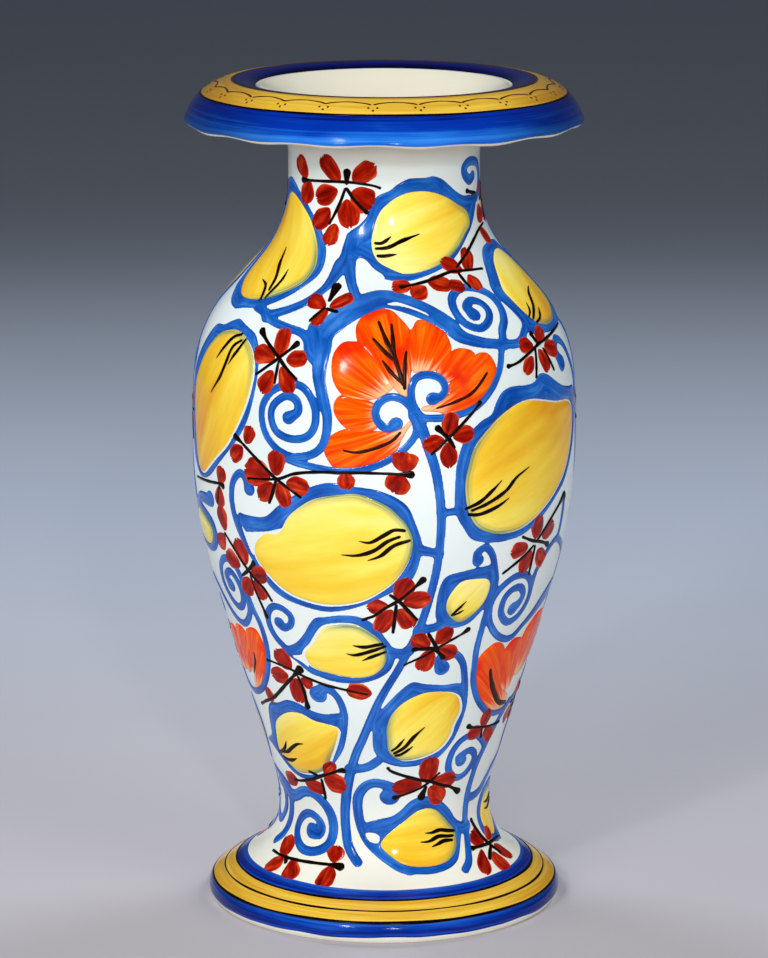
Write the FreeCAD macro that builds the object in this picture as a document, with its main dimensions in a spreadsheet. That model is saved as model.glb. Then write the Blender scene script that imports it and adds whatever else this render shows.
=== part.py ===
"""A footed vase with a wide drooping rim, as the thrown clay sections it is put together from.

Every section is a ring turned round the vertical axis. The outlines are chains of tangent arcs and
straight runs, worked out from the driving sizes in the "Sizes" sheet. Millimetres and degrees, +Z up,
origin at the centre of the foot's standing face.
"""
import FreeCAD
import Part
import Sketcher
import os
import re

SIZES = [
    # name, value, what it is
    ("overall_height", 400.0, "table to the crest of the rim"),
    ("wall", 6.0, "thickness of the clay"),
    ("belly_radius", 91.5, "outside, at the widest line"),
    ("belly_height", 227.0, "height of the widest line"),
    ("flank_arc", 630.0, "gentle arc above the widest line"),
    ("flank_turn", 2.8, "degrees that the flank leans in before the shoulder"),
    ("shoulder_arc", 68.0, "round of the shoulder"),
    ("shoulder_slope", 42.2, "degrees from upright, where the shoulder is straight"),
    ("sweep_arc", 49.0, "hollow curve from shoulder to neck"),
    ("neck_radius", 45.4, "outside of the neck"),
    ("hull_arc", 236.0, "round of the belly below the widest line"),
    ("hull_slope", 16.6, "degrees from upright, where the lower body is straight"),
    ("waist_arc", 57.5, "hollow curve from the lower body to the waist"),
    ("waist_radius", 50.7, "outside of the waist, where foot and body meet"),
    ("floor_thickness", 7.0, "floor of the vessel"),
    ("floor_fillet", 10.0, "inside corner between floor and wall"),
    ("foot_slope", 32.6, "degrees from level, of the top of the foot"),
    ("foot_edge_arc", 7.35, "round edge of the foot"),
    ("foot_edge_radius", 78.05, "centre of that round edge, from the axis"),
    ("foot_edge_height", 4.7, "centre of that round edge, from the table"),
    ("foot_hollow_radius", 75.5, "hollow under the foot, at the table"),
    ("rim_arc", 24.5, "top of the drooping rim"),
    ("rim_centre_radius", 70.7, "centre of the rim's arc, from the axis"),
    ("mouth_turn", 60.0, "degrees turned by the trumpet mouth before the rim's arc"),
    ("rim_edge_angle", 15.0, "degrees above level at which the rim's arc ends in its lip"),
]

doc = FreeCAD.newDocument("vase")
sheet = doc.addObject("Spreadsheet::Sheet", "Sizes")
for row, (name, value, meaning) in enumerate(SIZES, start=1):
    sheet.set(f"A{row}", meaning)
    sheet.set(f"B{row}", str(value))
    sheet.setAlias(f"B{row}", name)
doc.recompute()
ALIASES = {name for name, value, meaning in SIZES}


def formula(text):
    """Turn plain size names into references to the sheet."""
    def refer(match):
        word = match.group(0)
        return f"Sizes.{word}" if word in ALIASES else word
    return re.sub(r"[a-z_]+", refer, text)


def value_of(text):
    """The present number of a formula."""
    return float(sheet.evalExpression(formula(text)))


def on_arc(centre, radius, angle):
    """A point on an arc, as a pair of formulas; the angle is from level outwards, anticlockwise."""
    centre_r, centre_z = centre
    return (f"({centre_r}) + ({radius}) * cos({angle})", f"({centre_z}) + ({radius}) * sin({angle})")


# --- centres of the arcs, as (radius, height) formulas ------------------------------------------------
FLANK = ("belly_radius - flank_arc", "belly_height")
SHOULDER = on_arc(FLANK, "flank_arc - shoulder_arc", "flank_turn")
SHOULDER_RUN_DROP = (f"(({SHOULDER[0]}) + (shoulder_arc + sweep_arc) * cos(shoulder_slope)"
                     " - neck_radius - sweep_arc) / tan(shoulder_slope)")
NECK_BASE = f"({SHOULDER[1]}) + (shoulder_arc + sweep_arc) * sin(shoulder_slope) + {SHOULDER_RUN_DROP}"
SWEEP = ("neck_radius + sweep_arc", NECK_BASE)

HULL = ("belly_radius - hull_arc", "belly_height")
HULL_RUN_DROP = ("(belly_radius - waist_radius - (hull_arc + waist_arc) * (1 - cos(hull_slope)))"
                 " / tan(hull_slope)")
WAIST_HEIGHT = f"belly_height - (hull_arc + waist_arc) * sin(hull_slope) - {HULL_RUN_DROP}"
WAIST = ("waist_radius + waist_arc", WAIST_HEIGHT)

FOOT_EDGE = ("foot_edge_radius", "foot_edge_height")
FLARE_ARC = (f"((waist_radius - foot_edge_radius) * sin(foot_slope)"
             f" + ({WAIST_HEIGHT} - foot_edge_height) * cos(foot_slope) - foot_edge_arc)"
             " / (1 - sin(foot_slope))")
FLARE = (f"waist_radius + {FLARE_ARC}", WAIST_HEIGHT)

RIM = ("rim_centre_radius", "overall_height - rim_arc")
MOUTH_ARC = ("(rim_centre_radius - rim_arc * cos(mouth_turn) - neck_radius + wall)"
             " / (1 - cos(mouth_turn))")
MOUTH = on_arc(RIM, f"rim_arc - {MOUTH_ARC}", "180 - mouth_turn")
NECK_TOP = MOUTH[1]


def add_edge(sketch, start, end, arc):
    """Draw one edge at its present place and return its geometry id and the id of its start point."""
    first = FreeCAD.Vector(value_of(start[0]), value_of(start[1]), 0)
    last = FreeCAD.Vector(value_of(end[0]), value_of(end[1]), 0)
    if arc is None:
        return sketch.addGeometry(Part.LineSegment(first, last), False), 1
    centre = FreeCAD.Vector(value_of(arc[0][0]), value_of(arc[0][1]), 0)
    radius = value_of(arc[1])
    towards_middle = (first + last) * 0.5 - centre
    middle = centre + towards_middle.normalize() * radius
    edge = sketch.addGeometry(Part.Arc(first, middle, last), False)
    gaps = {point: sketch.getPoint(edge, point).distanceToPoint(first) for point in (1, 2)}
    return edge, min(gaps, key=gaps.get)


def draw_outline(sketch, outline):
    """Draw a closed outline: each entry is a vertex and the arc that leaves it, or None for a line.

    Every vertex is held at its formula's place, and every arc by its radius.
    """
    edges = []
    for number, (vertex, arc) in enumerate(outline):
        following = outline[(number + 1) % len(outline)][0]
        edges.append(add_edge(sketch, vertex, following, arc))
    for number, (vertex, arc) in enumerate(outline):
        edge, start_point = edges[number]
        previous, previous_start = edges[number - 1]
        previous_end = 3 - previous_start
        sketch.addConstraint(Sketcher.Constraint("Coincident", previous, previous_end, edge, start_point))
        hold(sketch, edge, start_point, "X", vertex[0], f"radius_{number}")
        hold(sketch, edge, start_point, "Y", vertex[1], f"height_{number}")
        if arc is not None:
            bind(sketch, Sketcher.Constraint("Radius", edge, value_of(arc[1])), arc[1], f"arc_{number}")


def hold(sketch, edge, point, direction, text, name):
    """Hold a point at a distance from the sketch's origin, or on its axis when that distance is 0."""
    if text == "0":
        axis = -2 if direction == "X" else -1
        sketch.addConstraint(Sketcher.Constraint("PointOnObject", edge, point, axis))
        return
    constraint = Sketcher.Constraint(f"Distance{direction}", -1, 1, edge, point, value_of(text))
    bind(sketch, constraint, text, name)


def bind(sketch, constraint, text, name):
    """Add a dimension and bind it to the sheet."""
    index = sketch.addConstraint(constraint)
    sketch.renameConstraint(index, name)
    sketch.setExpression(f"Constraints.{name}", formula(text))


def origin_plane(body, role):
    return next(feature for feature in body.Origin.OriginFeatures if feature.Role == role)


def turned_section(label, outline):
    """One clay section: its outline turned a full circle round the vertical axis."""
    body = doc.addObject("PartDesign::Body", label)
    body.Label = label
    body.Placement = FreeCAD.Placement()
    sketch = body.newObject("Sketcher::SketchObject", f"{label}_outline")
    sketch.AttachmentSupport = (origin_plane(body, "XZ_Plane"), [""])
    sketch.MapMode = "FlatFace"
    draw_outline(sketch, outline)
    doc.recompute()
    turning = body.newObject("PartDesign::Revolution", f"{label}_turning")
    turning.Profile = sketch
    turning.ReferenceAxis = (sketch, ["V_Axis"])
    turning.Angle = 360
    sketch.Visibility = False
    body.Tip = turning
    return body


def foot():
    """Pedestal foot: a flare that runs out to a round edge, hollow underneath."""
    hollow_run_height = (f"{WAIST_HEIGHT} - ({FLARE_ARC} + wall) * cos(foot_slope)"
                         f" + (waist_radius + {FLARE_ARC} - ({FLARE_ARC} + wall) * sin(foot_slope)"
                         " - foot_hollow_radius) * tan(foot_slope)")
    standing_edge = ("foot_edge_radius + sqrt(foot_edge_arc ^ 2 - foot_edge_height ^ 2)", "0")
    return turned_section("foot", [
        (("foot_hollow_radius", "0"), None),
        (standing_edge, (FOOT_EDGE, "foot_edge_arc")),
        (on_arc(FOOT_EDGE, "foot_edge_arc", "90 - foot_slope"), None),
        (on_arc(FLARE, FLARE_ARC, "270 - foot_slope"), (FLARE, FLARE_ARC)),
        (("waist_radius", WAIST_HEIGHT), None),
        (("waist_radius - wall", WAIST_HEIGHT), (FLARE, f"{FLARE_ARC} + wall")),
        (on_arc(FLARE, f"{FLARE_ARC} + wall", "270 - foot_slope"), None),
        (("foot_hollow_radius", hollow_run_height), None),
    ])


def lower_bowl():
    """Lower half of the belly, thrown as a bowl with the vessel's floor."""
    floor_top = f"{WAIST_HEIGHT} + floor_thickness"
    fillet_centre_height = f"{floor_top} + floor_fillet"
    # The floor's corner is an arc that touches both the floor and the hollow curve of the wall.
    reach = "waist_arc + wall + floor_fillet"
    rise = "floor_thickness + floor_fillet"
    fillet = (f"waist_radius + waist_arc - sqrt(({reach}) ^ 2 - ({rise}) ^ 2)", fillet_centre_height)
    share = f"(waist_arc + wall) / ({reach})"
    corner_top = (f"{WAIST[0]} - sqrt(({reach}) ^ 2 - ({rise}) ^ 2) * {share}",
                  f"{WAIST_HEIGHT} + ({rise}) * {share}")
    return turned_section("lower_bowl", [
        (("0", WAIST_HEIGHT), None),
        (("waist_radius", WAIST_HEIGHT), (WAIST, "waist_arc")),
        (on_arc(WAIST, "waist_arc", "180 - hull_slope"), None),
        (on_arc(HULL, "hull_arc", "-hull_slope"), (HULL, "hull_arc")),
        (("belly_radius", "belly_height"), None),
        (("belly_radius - wall", "belly_height"), (HULL, "hull_arc - wall")),
        (on_arc(HULL, "hull_arc - wall", "-hull_slope"), None),
        (on_arc(WAIST, "waist_arc + wall", "180 - hull_slope"), (WAIST, "waist_arc + wall")),
        (corner_top, (fillet, "floor_fillet")),
        ((fillet[0], floor_top), None),
        (("0", floor_top), None),
    ])


def upper_bowl():
    """Upper half of the belly: flank, shoulder and the sweep up to the neck."""
    return turned_section("upper_bowl", [
        (("belly_radius", "belly_height"), (FLANK, "flank_arc")),
        (on_arc(FLANK, "flank_arc", "flank_turn"), (SHOULDER, "shoulder_arc")),
        (on_arc(SHOULDER, "shoulder_arc", "shoulder_slope"), None),
        (on_arc(SWEEP, "sweep_arc", "180 + shoulder_slope"), (SWEEP, "sweep_arc")),
        (("neck_radius", NECK_BASE), None),
        (("neck_radius - wall", NECK_BASE), (SWEEP, "sweep_arc + wall")),
        (on_arc(SWEEP, "sweep_arc + wall", "180 + shoulder_slope"), None),
        (on_arc(SHOULDER, "shoulder_arc - wall", "shoulder_slope"), (SHOULDER, "shoulder_arc - wall")),
        (on_arc(FLANK, "flank_arc - wall", "flank_turn"), (FLANK, "flank_arc - wall")),
        (("belly_radius - wall", "belly_height"), None),
    ])


def neck_collar():
    """Short straight neck."""
    return turned_section("neck_collar", [
        (("neck_radius - wall", NECK_BASE), None),
        (("neck_radius", NECK_BASE), None),
        (("neck_radius", NECK_TOP), None),
        (("neck_radius - wall", NECK_TOP), None),
    ])


def rim_flange():
    """Trumpet mouth that rolls over into a drooping rim with a full-round lip."""
    lip = on_arc(RIM, "rim_arc - wall / 2", "rim_edge_angle")
    return turned_section("rim_flange", [
        (("neck_radius - wall", NECK_TOP), None),
        (("neck_radius", NECK_TOP), (MOUTH, f"{MOUTH_ARC} - wall")),
        (on_arc(RIM, "rim_arc - wall", "180 - mouth_turn"), (RIM, "rim_arc - wall")),
        (on_arc(RIM, "rim_arc - wall", "rim_edge_angle"), (lip, "wall / 2")),
        (on_arc(lip, "wall / 2", "rim_edge_angle - 90"), (lip, "wall / 2")),
        (on_arc(RIM, "rim_arc", "rim_edge_angle"), (RIM, "rim_arc")),
        (on_arc(RIM, "rim_arc", "180 - mouth_turn"), (MOUTH, MOUTH_ARC)),
    ])


def check(sections):
    """Stop if anything in the document failed, or if a section isn't one sound solid."""
    for item in doc.Objects:
        if "Invalid" in item.State or "Error" in item.State:
            raise RuntimeError(f"{item.Label} failed: {item.State}")
    for section in sections:
        shape = section.Shape
        if shape.isNull() or not shape.isValid() or len(shape.Solids) != 1:
            raise RuntimeError(f"{section.Label} is not one sound solid")


sections = [foot(), lower_bowl(), upper_bowl(), neck_collar(), rim_flange()]
doc.recompute()
check(sections)
os.makedirs("parts", exist_ok=True)
for section in sections:
    section.Shape.exportStep(f"parts/{section.Label}.step")
    box = section.Shape.optimalBoundingBox()
    print(f"{section.Label}: height {box.ZMin:.2f} to {box.ZMax:.2f}, radius {box.XMax:.2f}, "
          f"volume {section.Shape.Volume / 1000:.1f} cm3")
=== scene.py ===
"""Painted and glazed looks of the flanged vase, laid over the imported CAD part.

The vessel wall is turned from the same chain of arcs as the CAD part, one piece per CAD node.
The painted decoration is laid on the wall in coats of coloured glaze, each a thin relief of its own:
raised blue vines first, then the lemons and flowers, then the small red blossoms and black brush lines.
Places on the wall are given as (turn in degrees, height in millimetres); turn 0 faces the viewer,
positive turns go to the viewer's right. The pattern is painted twice, on the front and on the back.
"""

import math

import bpy
import numpy as np
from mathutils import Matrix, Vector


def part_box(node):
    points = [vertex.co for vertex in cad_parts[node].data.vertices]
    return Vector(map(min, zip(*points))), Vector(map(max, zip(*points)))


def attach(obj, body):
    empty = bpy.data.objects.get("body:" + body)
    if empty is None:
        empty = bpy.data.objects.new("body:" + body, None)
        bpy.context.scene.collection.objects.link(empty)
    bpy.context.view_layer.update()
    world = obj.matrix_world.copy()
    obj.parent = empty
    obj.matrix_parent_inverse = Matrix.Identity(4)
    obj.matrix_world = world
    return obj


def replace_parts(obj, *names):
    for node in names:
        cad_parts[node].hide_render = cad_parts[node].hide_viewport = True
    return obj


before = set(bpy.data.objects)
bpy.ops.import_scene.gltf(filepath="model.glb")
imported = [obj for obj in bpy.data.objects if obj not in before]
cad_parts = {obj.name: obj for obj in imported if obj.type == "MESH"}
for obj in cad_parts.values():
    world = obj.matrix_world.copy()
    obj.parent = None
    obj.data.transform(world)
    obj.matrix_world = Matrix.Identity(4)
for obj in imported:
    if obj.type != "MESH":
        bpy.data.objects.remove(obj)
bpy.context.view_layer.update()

MM = 0.001
RNG = np.random.default_rng(7)

# ---------------------------------------------------------------- sizes, in millimetres and degrees
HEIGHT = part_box("rim_flange")[1].z / MM
BELLY_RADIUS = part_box("upper_bowl")[1].x / MM
BELLY_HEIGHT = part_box("upper_bowl")[0].z / MM
WAIST_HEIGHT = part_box("foot")[1].z / MM
NECK_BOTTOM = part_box("neck_collar")[0].z / MM
NECK_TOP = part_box("neck_collar")[1].z / MM
NECK_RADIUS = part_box("neck_collar")[1].x / MM
WALL = 6.0
WAIST_RADIUS = 50.7
FLANK_ARC, FLANK_TURN = 630.0, 2.8
SHOULDER_ARC, SHOULDER_SLOPE = 68.0, 42.2
SWEEP_ARC = 49.0
HULL_ARC, HULL_SLOPE = 236.0, 16.6
WAIST_ARC = 57.5
FLOOR_THICKNESS, FLOOR_FILLET, FLOOR_BEND = 7.0, 10.0, 8.0
FLOOR_CORNER_OUT = 0.4     # the floor's fillet is set this far outwards, to meet the wall where it bends
FLOOR_HOLE = 0.5           # the floor's grid stops this far from the axis
FOOT_SLOPE, FOOT_EDGE_ARC, FOOT_EDGE_RADIUS, FOOT_EDGE_HEIGHT = 32.6, 7.35, 78.05, 4.7
FOOT_HOLLOW_RADIUS, FOOT_BEVEL = 75.5, 0.4
RIM_ARC, RIM_CENTRE_RADIUS, MOUTH_TURN, RIM_EDGE_ANGLE = 24.5, 70.7, 60.0, 15.0
COATS_ROOM = 0.68          # the wall under the rim's coats lies this far inside the CAD surface
LOBES, LOBE_SWING = 15, 0.75
LIP_FADE_FROM, LIP_FADE = 14.5, 9.0        # the lobes start this far below the top and grow over this depth
LOBED_FROM, LOBED_OVER = 74.0, 12.0        # they start at this radius and grow over this distance outwards
EDGE_DIP = -0.12           # a coat's edge dips this far into the wall, so no gap shows under it


def cosd(angle):
    return math.cos(math.radians(angle))


def sind(angle):
    return math.sin(math.radians(angle))


def arc(centre, radius, start, end, count=24):
    """Points (radius from the axis, height) along an arc given by its centre and two angles."""
    turn = np.radians(np.linspace(start, end, count))
    return np.column_stack([centre[0] + radius * np.cos(turn), centre[1] + radius * np.sin(turn)])


def on_circle(centre, radius, angle):
    return centre[0] + radius * cosd(angle), centre[1] + radius * sind(angle)


# Centres of the arcs, each touching the next, as in the CAD part.
FOOT_EDGE = (FOOT_EDGE_RADIUS, FOOT_EDGE_HEIGHT)
FLARE_ARC = ((WAIST_RADIUS - FOOT_EDGE_RADIUS) * sind(FOOT_SLOPE)
             + (WAIST_HEIGHT - FOOT_EDGE_HEIGHT) * cosd(FOOT_SLOPE) - FOOT_EDGE_ARC) / (1 - sind(FOOT_SLOPE))
FLARE = (WAIST_RADIUS + FLARE_ARC, WAIST_HEIGHT)
WAIST = (WAIST_RADIUS + WAIST_ARC, WAIST_HEIGHT)
HULL = (BELLY_RADIUS - HULL_ARC, BELLY_HEIGHT)
FLANK = (BELLY_RADIUS - FLANK_ARC, BELLY_HEIGHT)
SHOULDER = on_circle(FLANK, FLANK_ARC - SHOULDER_ARC, FLANK_TURN)
SWEEP = (NECK_RADIUS + SWEEP_ARC, NECK_BOTTOM)
RIM = (RIM_CENTRE_RADIUS, HEIGHT - RIM_ARC)
MOUTH_ARC = (RIM_CENTRE_RADIUS - RIM_ARC * cosd(MOUTH_TURN) - NECK_RADIUS + WALL) / (1 - cosd(MOUTH_TURN))
MOUTH = on_circle(RIM, RIM_ARC - MOUTH_ARC, 180 - MOUTH_TURN)


def foot_section():
    """Outline of the foot: outside from its resting edge up to the waist, then back down the hollow."""
    standing = FOOT_EDGE_RADIUS + math.sqrt(FOOT_EDGE_ARC ** 2 - FOOT_EDGE_HEIGHT ** 2)
    resting = math.degrees(math.atan2(-FOOT_EDGE_HEIGHT, standing - FOOT_EDGE_RADIUS))
    outside = [arc(FOOT_EDGE, FOOT_EDGE_ARC, resting, 90 - FOOT_SLOPE),
               arc(FLARE, FLARE_ARC, 270 - FOOT_SLOPE, 180, 70)]
    hollow = arc(FLARE, FLARE_ARC + WALL, 180, 270 - FOOT_SLOPE, 40)
    run = FOOT_HOLLOW_RADIUS - hollow[-1][0]
    cone_end = hollow[-1] + run * np.array([1, -math.tan(math.radians(FOOT_SLOPE))])
    bevel = [(FOOT_HOLLOW_RADIUS, FOOT_BEVEL), (FOOT_HOLLOW_RADIUS + FOOT_BEVEL, 0.0)]
    return np.vstack(outside), np.vstack([hollow, [cone_end], bevel])


def lower_section():
    """Outline of the lower bowl: outside from the waist to the belly, then the inside down to the floor."""
    outside = [arc(WAIST, WAIST_ARC, 180, 180 - HULL_SLOPE, 40),
               arc(HULL, HULL_ARC, -HULL_SLOPE, 0, 110)]
    floor_top = WAIST_HEIGHT + FLOOR_THICKNESS
    corner = (WAIST_RADIUS - WALL - FLOOR_FILLET + FLOOR_CORNER_OUT, floor_top + FLOOR_FILLET)
    inside = [arc(HULL, HULL_ARC - WALL, 0, -HULL_SLOPE, 60),
              arc(WAIST, WAIST_ARC + WALL, 180 - HULL_SLOPE, 180 - FLOOR_BEND, 20),
              arc(corner, FLOOR_FILLET, -FLOOR_BEND, -90, 14)]
    return np.vstack(outside), np.vstack(inside + [[(FLOOR_HOLE, floor_top)]])


def upper_section():
    """Outline of the upper bowl: outside from the belly over the shoulder to the neck, then back inside."""
    outside = [arc(FLANK, FLANK_ARC, 0, FLANK_TURN, 30),
               arc(SHOULDER, SHOULDER_ARC, FLANK_TURN, SHOULDER_SLOPE, 80),
               arc(SWEEP, SWEEP_ARC, 180 + SHOULDER_SLOPE, 180, 90)]
    inside = [arc(SWEEP, SWEEP_ARC + WALL, 180, 180 + SHOULDER_SLOPE, 40),
              arc(SHOULDER, SHOULDER_ARC - WALL, SHOULDER_SLOPE, FLANK_TURN, 40),
              arc(FLANK, FLANK_ARC - WALL, FLANK_TURN, 0, 20)]
    return np.vstack(outside), np.vstack(inside)


def neck_section(count=8):
    """Outline of the neck, a plain tube: up the outside, down the inside."""
    rows = np.linspace(NECK_BOTTOM, NECK_TOP, count)
    outside = np.column_stack([np.full(count, NECK_RADIUS), rows])
    return outside, np.column_stack([np.full(count, NECK_RADIUS - WALL), rows[::-1]])


def rim_section():
    """Outline of the rim: outwards under the flange; then round its edge, over the crest, into the throat."""
    under = [arc(MOUTH, MOUTH_ARC - WALL, 180, 180 - MOUTH_TURN, 80),
             arc(RIM, RIM_ARC - WALL, 180 - MOUTH_TURN, RIM_EDGE_ANGLE, 60)]
    edge = on_circle(RIM, RIM_ARC - WALL / 2, RIM_EDGE_ANGLE)
    over = [arc(edge, WALL / 2 - COATS_ROOM / 2, RIM_EDGE_ANGLE - 180, RIM_EDGE_ANGLE - 10, 24),
            arc(RIM, RIM_ARC - COATS_ROOM, RIM_EDGE_ANGLE, 180 - MOUTH_TURN, 90),
            arc(MOUTH, MOUTH_ARC + COATS_ROOM, 180 - MOUTH_TURN, 180, 60)]
    return np.vstack(under), np.vstack(over)


class Path:
    """A profile curve read by its arc length: radius, height and outward normal."""

    def __init__(self, points):
        steps = np.hypot(*np.diff(points, axis=0).T)
        self.points = points[np.r_[True, steps > 0.02]]
        self.length = np.r_[0.0, np.cumsum(np.hypot(*np.diff(self.points, axis=0).T))]
        tangent = np.gradient(self.points, self.length, axis=0)
        tangent /= np.hypot(tangent[:, 0], tangent[:, 1])[:, None]
        self.normal = np.column_stack([tangent[:, 1], -tangent[:, 0]])

    def radius(self, s):
        return np.interp(s, self.length, self.points[:, 0])

    def at_height(self, z):
        return np.interp(z, self.points[:, 1], self.length)

    def place(self, turn, s, lift):
        """World points in metres for turns in degrees, arc lengths and lifts off the wall in millimetres."""
        r = self.radius(s) + lift * np.interp(s, self.length, self.normal[:, 0])
        z = np.interp(s, self.length, self.points[:, 1]) + lift * np.interp(s, self.length, self.normal[:, 1])
        a = np.radians(turn)
        return np.stack([r * np.sin(a), -r * np.cos(a), z], -1) * MM


BODY = Path(np.vstack([foot_section()[0], lower_section()[0], upper_section()[0], neck_section()[0],
                       arc(MOUTH, MOUTH_ARC - WALL, 180, 150, 16)]))
RIM_UNDER, RIM_OVER = rim_section()
CREST = Path(RIM_OVER)


# ---------------------------------------------------------------- meshes
def make_piece(name, points, faces, material, fields=None):
    """One mesh piece that rides on the vase, with the given material."""
    mesh = bpy.data.meshes.new(name)
    flat = np.concatenate([block.ravel() for block in faces]).astype(np.int32)
    sizes = np.concatenate([np.full(len(block), block.shape[1]) for block in faces])
    mesh.vertices.add(len(points))
    mesh.vertices.foreach_set("co", np.asarray(points, np.float32).ravel())
    mesh.loops.add(len(flat))
    mesh.loops.foreach_set("vertex_index", flat)
    mesh.polygons.add(len(sizes))
    mesh.polygons.foreach_set("loop_start", np.r_[0, np.cumsum(sizes)[:-1]].astype(np.int32))
    mesh.update(calc_edges=True)
    mesh.validate()
    mesh.polygons.foreach_set("use_smooth", np.full(len(mesh.polygons), True))
    for key, values in (fields or {}).items():
        attribute = mesh.attributes.new(key, "FLOAT", "POINT")
        attribute.data.foreach_set("value", np.asarray(values, np.float32).ravel())
    piece = bpy.data.objects.new(name, mesh)
    bpy.context.scene.collection.objects.link(piece)
    mesh.materials.append(material)
    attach(piece, "root")
    return piece


def full_turn(columns):
    """Evenly spaced turns in degrees, once round."""
    return np.arange(columns) * 360.0 / columns


def ring_faces(rows, columns):
    """Quads between the rows of a grid whose columns close on themselves."""
    i, j = np.meshgrid(np.arange(rows - 1), np.arange(columns), indexing="ij")
    k = (j + 1) % columns
    quads = np.stack([i * columns + j, i * columns + k, (i + 1) * columns + k, (i + 1) * columns + j], -1)
    return quads.reshape(-1, 4)


def lobe_shift(turn, share):
    """How far the rim's lip is pushed up: soft, hand-pressed lobes, no two quite alike."""
    a = np.radians(turn)
    wave = np.cos(LOBES * a + 0.6) + 0.35 * np.cos(4 * a + 1.0) + 0.25 * np.cos(7 * a)
    return share * LOBE_SWING * (wave + 1.2)


def lip_share(height):
    """1 at the underside of the lip, fading to 0 above the widest line of the rim."""
    return np.clip((HEIGHT - LIP_FADE_FROM - height) / LIP_FADE, 0, 1) ** 1.5


def turned_piece(name, strips, material, lobed=False, columns=288):
    """A turned wall from outlines of (radius, height) points; each strip is shaded apart from the next."""
    turn = full_turn(columns)
    a = np.radians(turn)
    blocks, faces, count = [], [], 0
    for outline in strips:
        radius = outline[:, 0][:, None] + 0 * a
        height = outline[:, 1][:, None] + 0 * a
        if lobed:
            near_edge = np.clip((outline[:, 0] - LOBED_FROM) / LOBED_OVER, 0, 1)[:, None]
            height = height + near_edge * lobe_shift(turn[None, :], lip_share(height))
        blocks.append(np.stack([radius * np.sin(a), -radius * np.cos(a), height], -1).reshape(-1, 3) * MM)
        faces.append(ring_faces(len(outline), columns) + count)
        count += len(outline) * columns
    return make_piece(name, np.vstack(blocks), [np.vstack(faces)], material)


def wall_strips(outside, inside):
    """Outside, top edge, inside and bottom edge of a wall, as separate strips."""
    return [outside, np.vstack([outside[-1], inside[0]]), inside, np.vstack([inside[-1], outside[0]])]


# ---------------------------------------------------------------- curves drawn through given points
def smooth_line(points, step, path=BODY, closed=False, heights=True):
    """A flowing line through (turn, height) points, resampled evenly; returns (turn, arc length) rows."""
    p = np.array([q[:2] for q in points], float)
    if heights:
        p[:, 1] = path.at_height(p[:, 1])
    if closed:
        run = np.vstack([p[-1:], p, p[:2]])
    else:
        run = np.vstack([2 * p[:1] - p[1:2], p, 2 * p[-1:] - p[-2:-1]])
    out = []
    for k in range(1, len(run) - 2):
        p0, p1, p2, p3 = run[k - 1:k + 3]
        scale = math.radians(1) * float(path.radius(p1[1]))
        length = math.hypot((p2[0] - p1[0]) * scale, p2[1] - p1[1])
        n = max(1, int(round(length / step)))
        t = (np.arange(n) / n)[:, None]
        out.append(0.5 * (2 * p1 + (p2 - p0) * t + (2 * p0 - 5 * p1 + 4 * p2 - p3) * t ** 2
                          + (3 * p1 - p0 - 3 * p2 + p3) * t ** 3))
    out.append(p[:1] if closed else p[-1:])
    return np.vstack(out)


def widths_along(points, usual, count):
    """Widths at even steps along a line: the third values of its points, the usual width at bare ends."""
    w = np.array([q[2] if len(q) > 2 else np.nan for q in points], float)
    w[[0, -1]] = np.where(np.isnan(w[[0, -1]]), usual, w[[0, -1]])
    known = ~np.isnan(w)
    return np.interp(np.linspace(0, 1, count), np.linspace(0, 1, len(w))[known], w[known])


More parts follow.
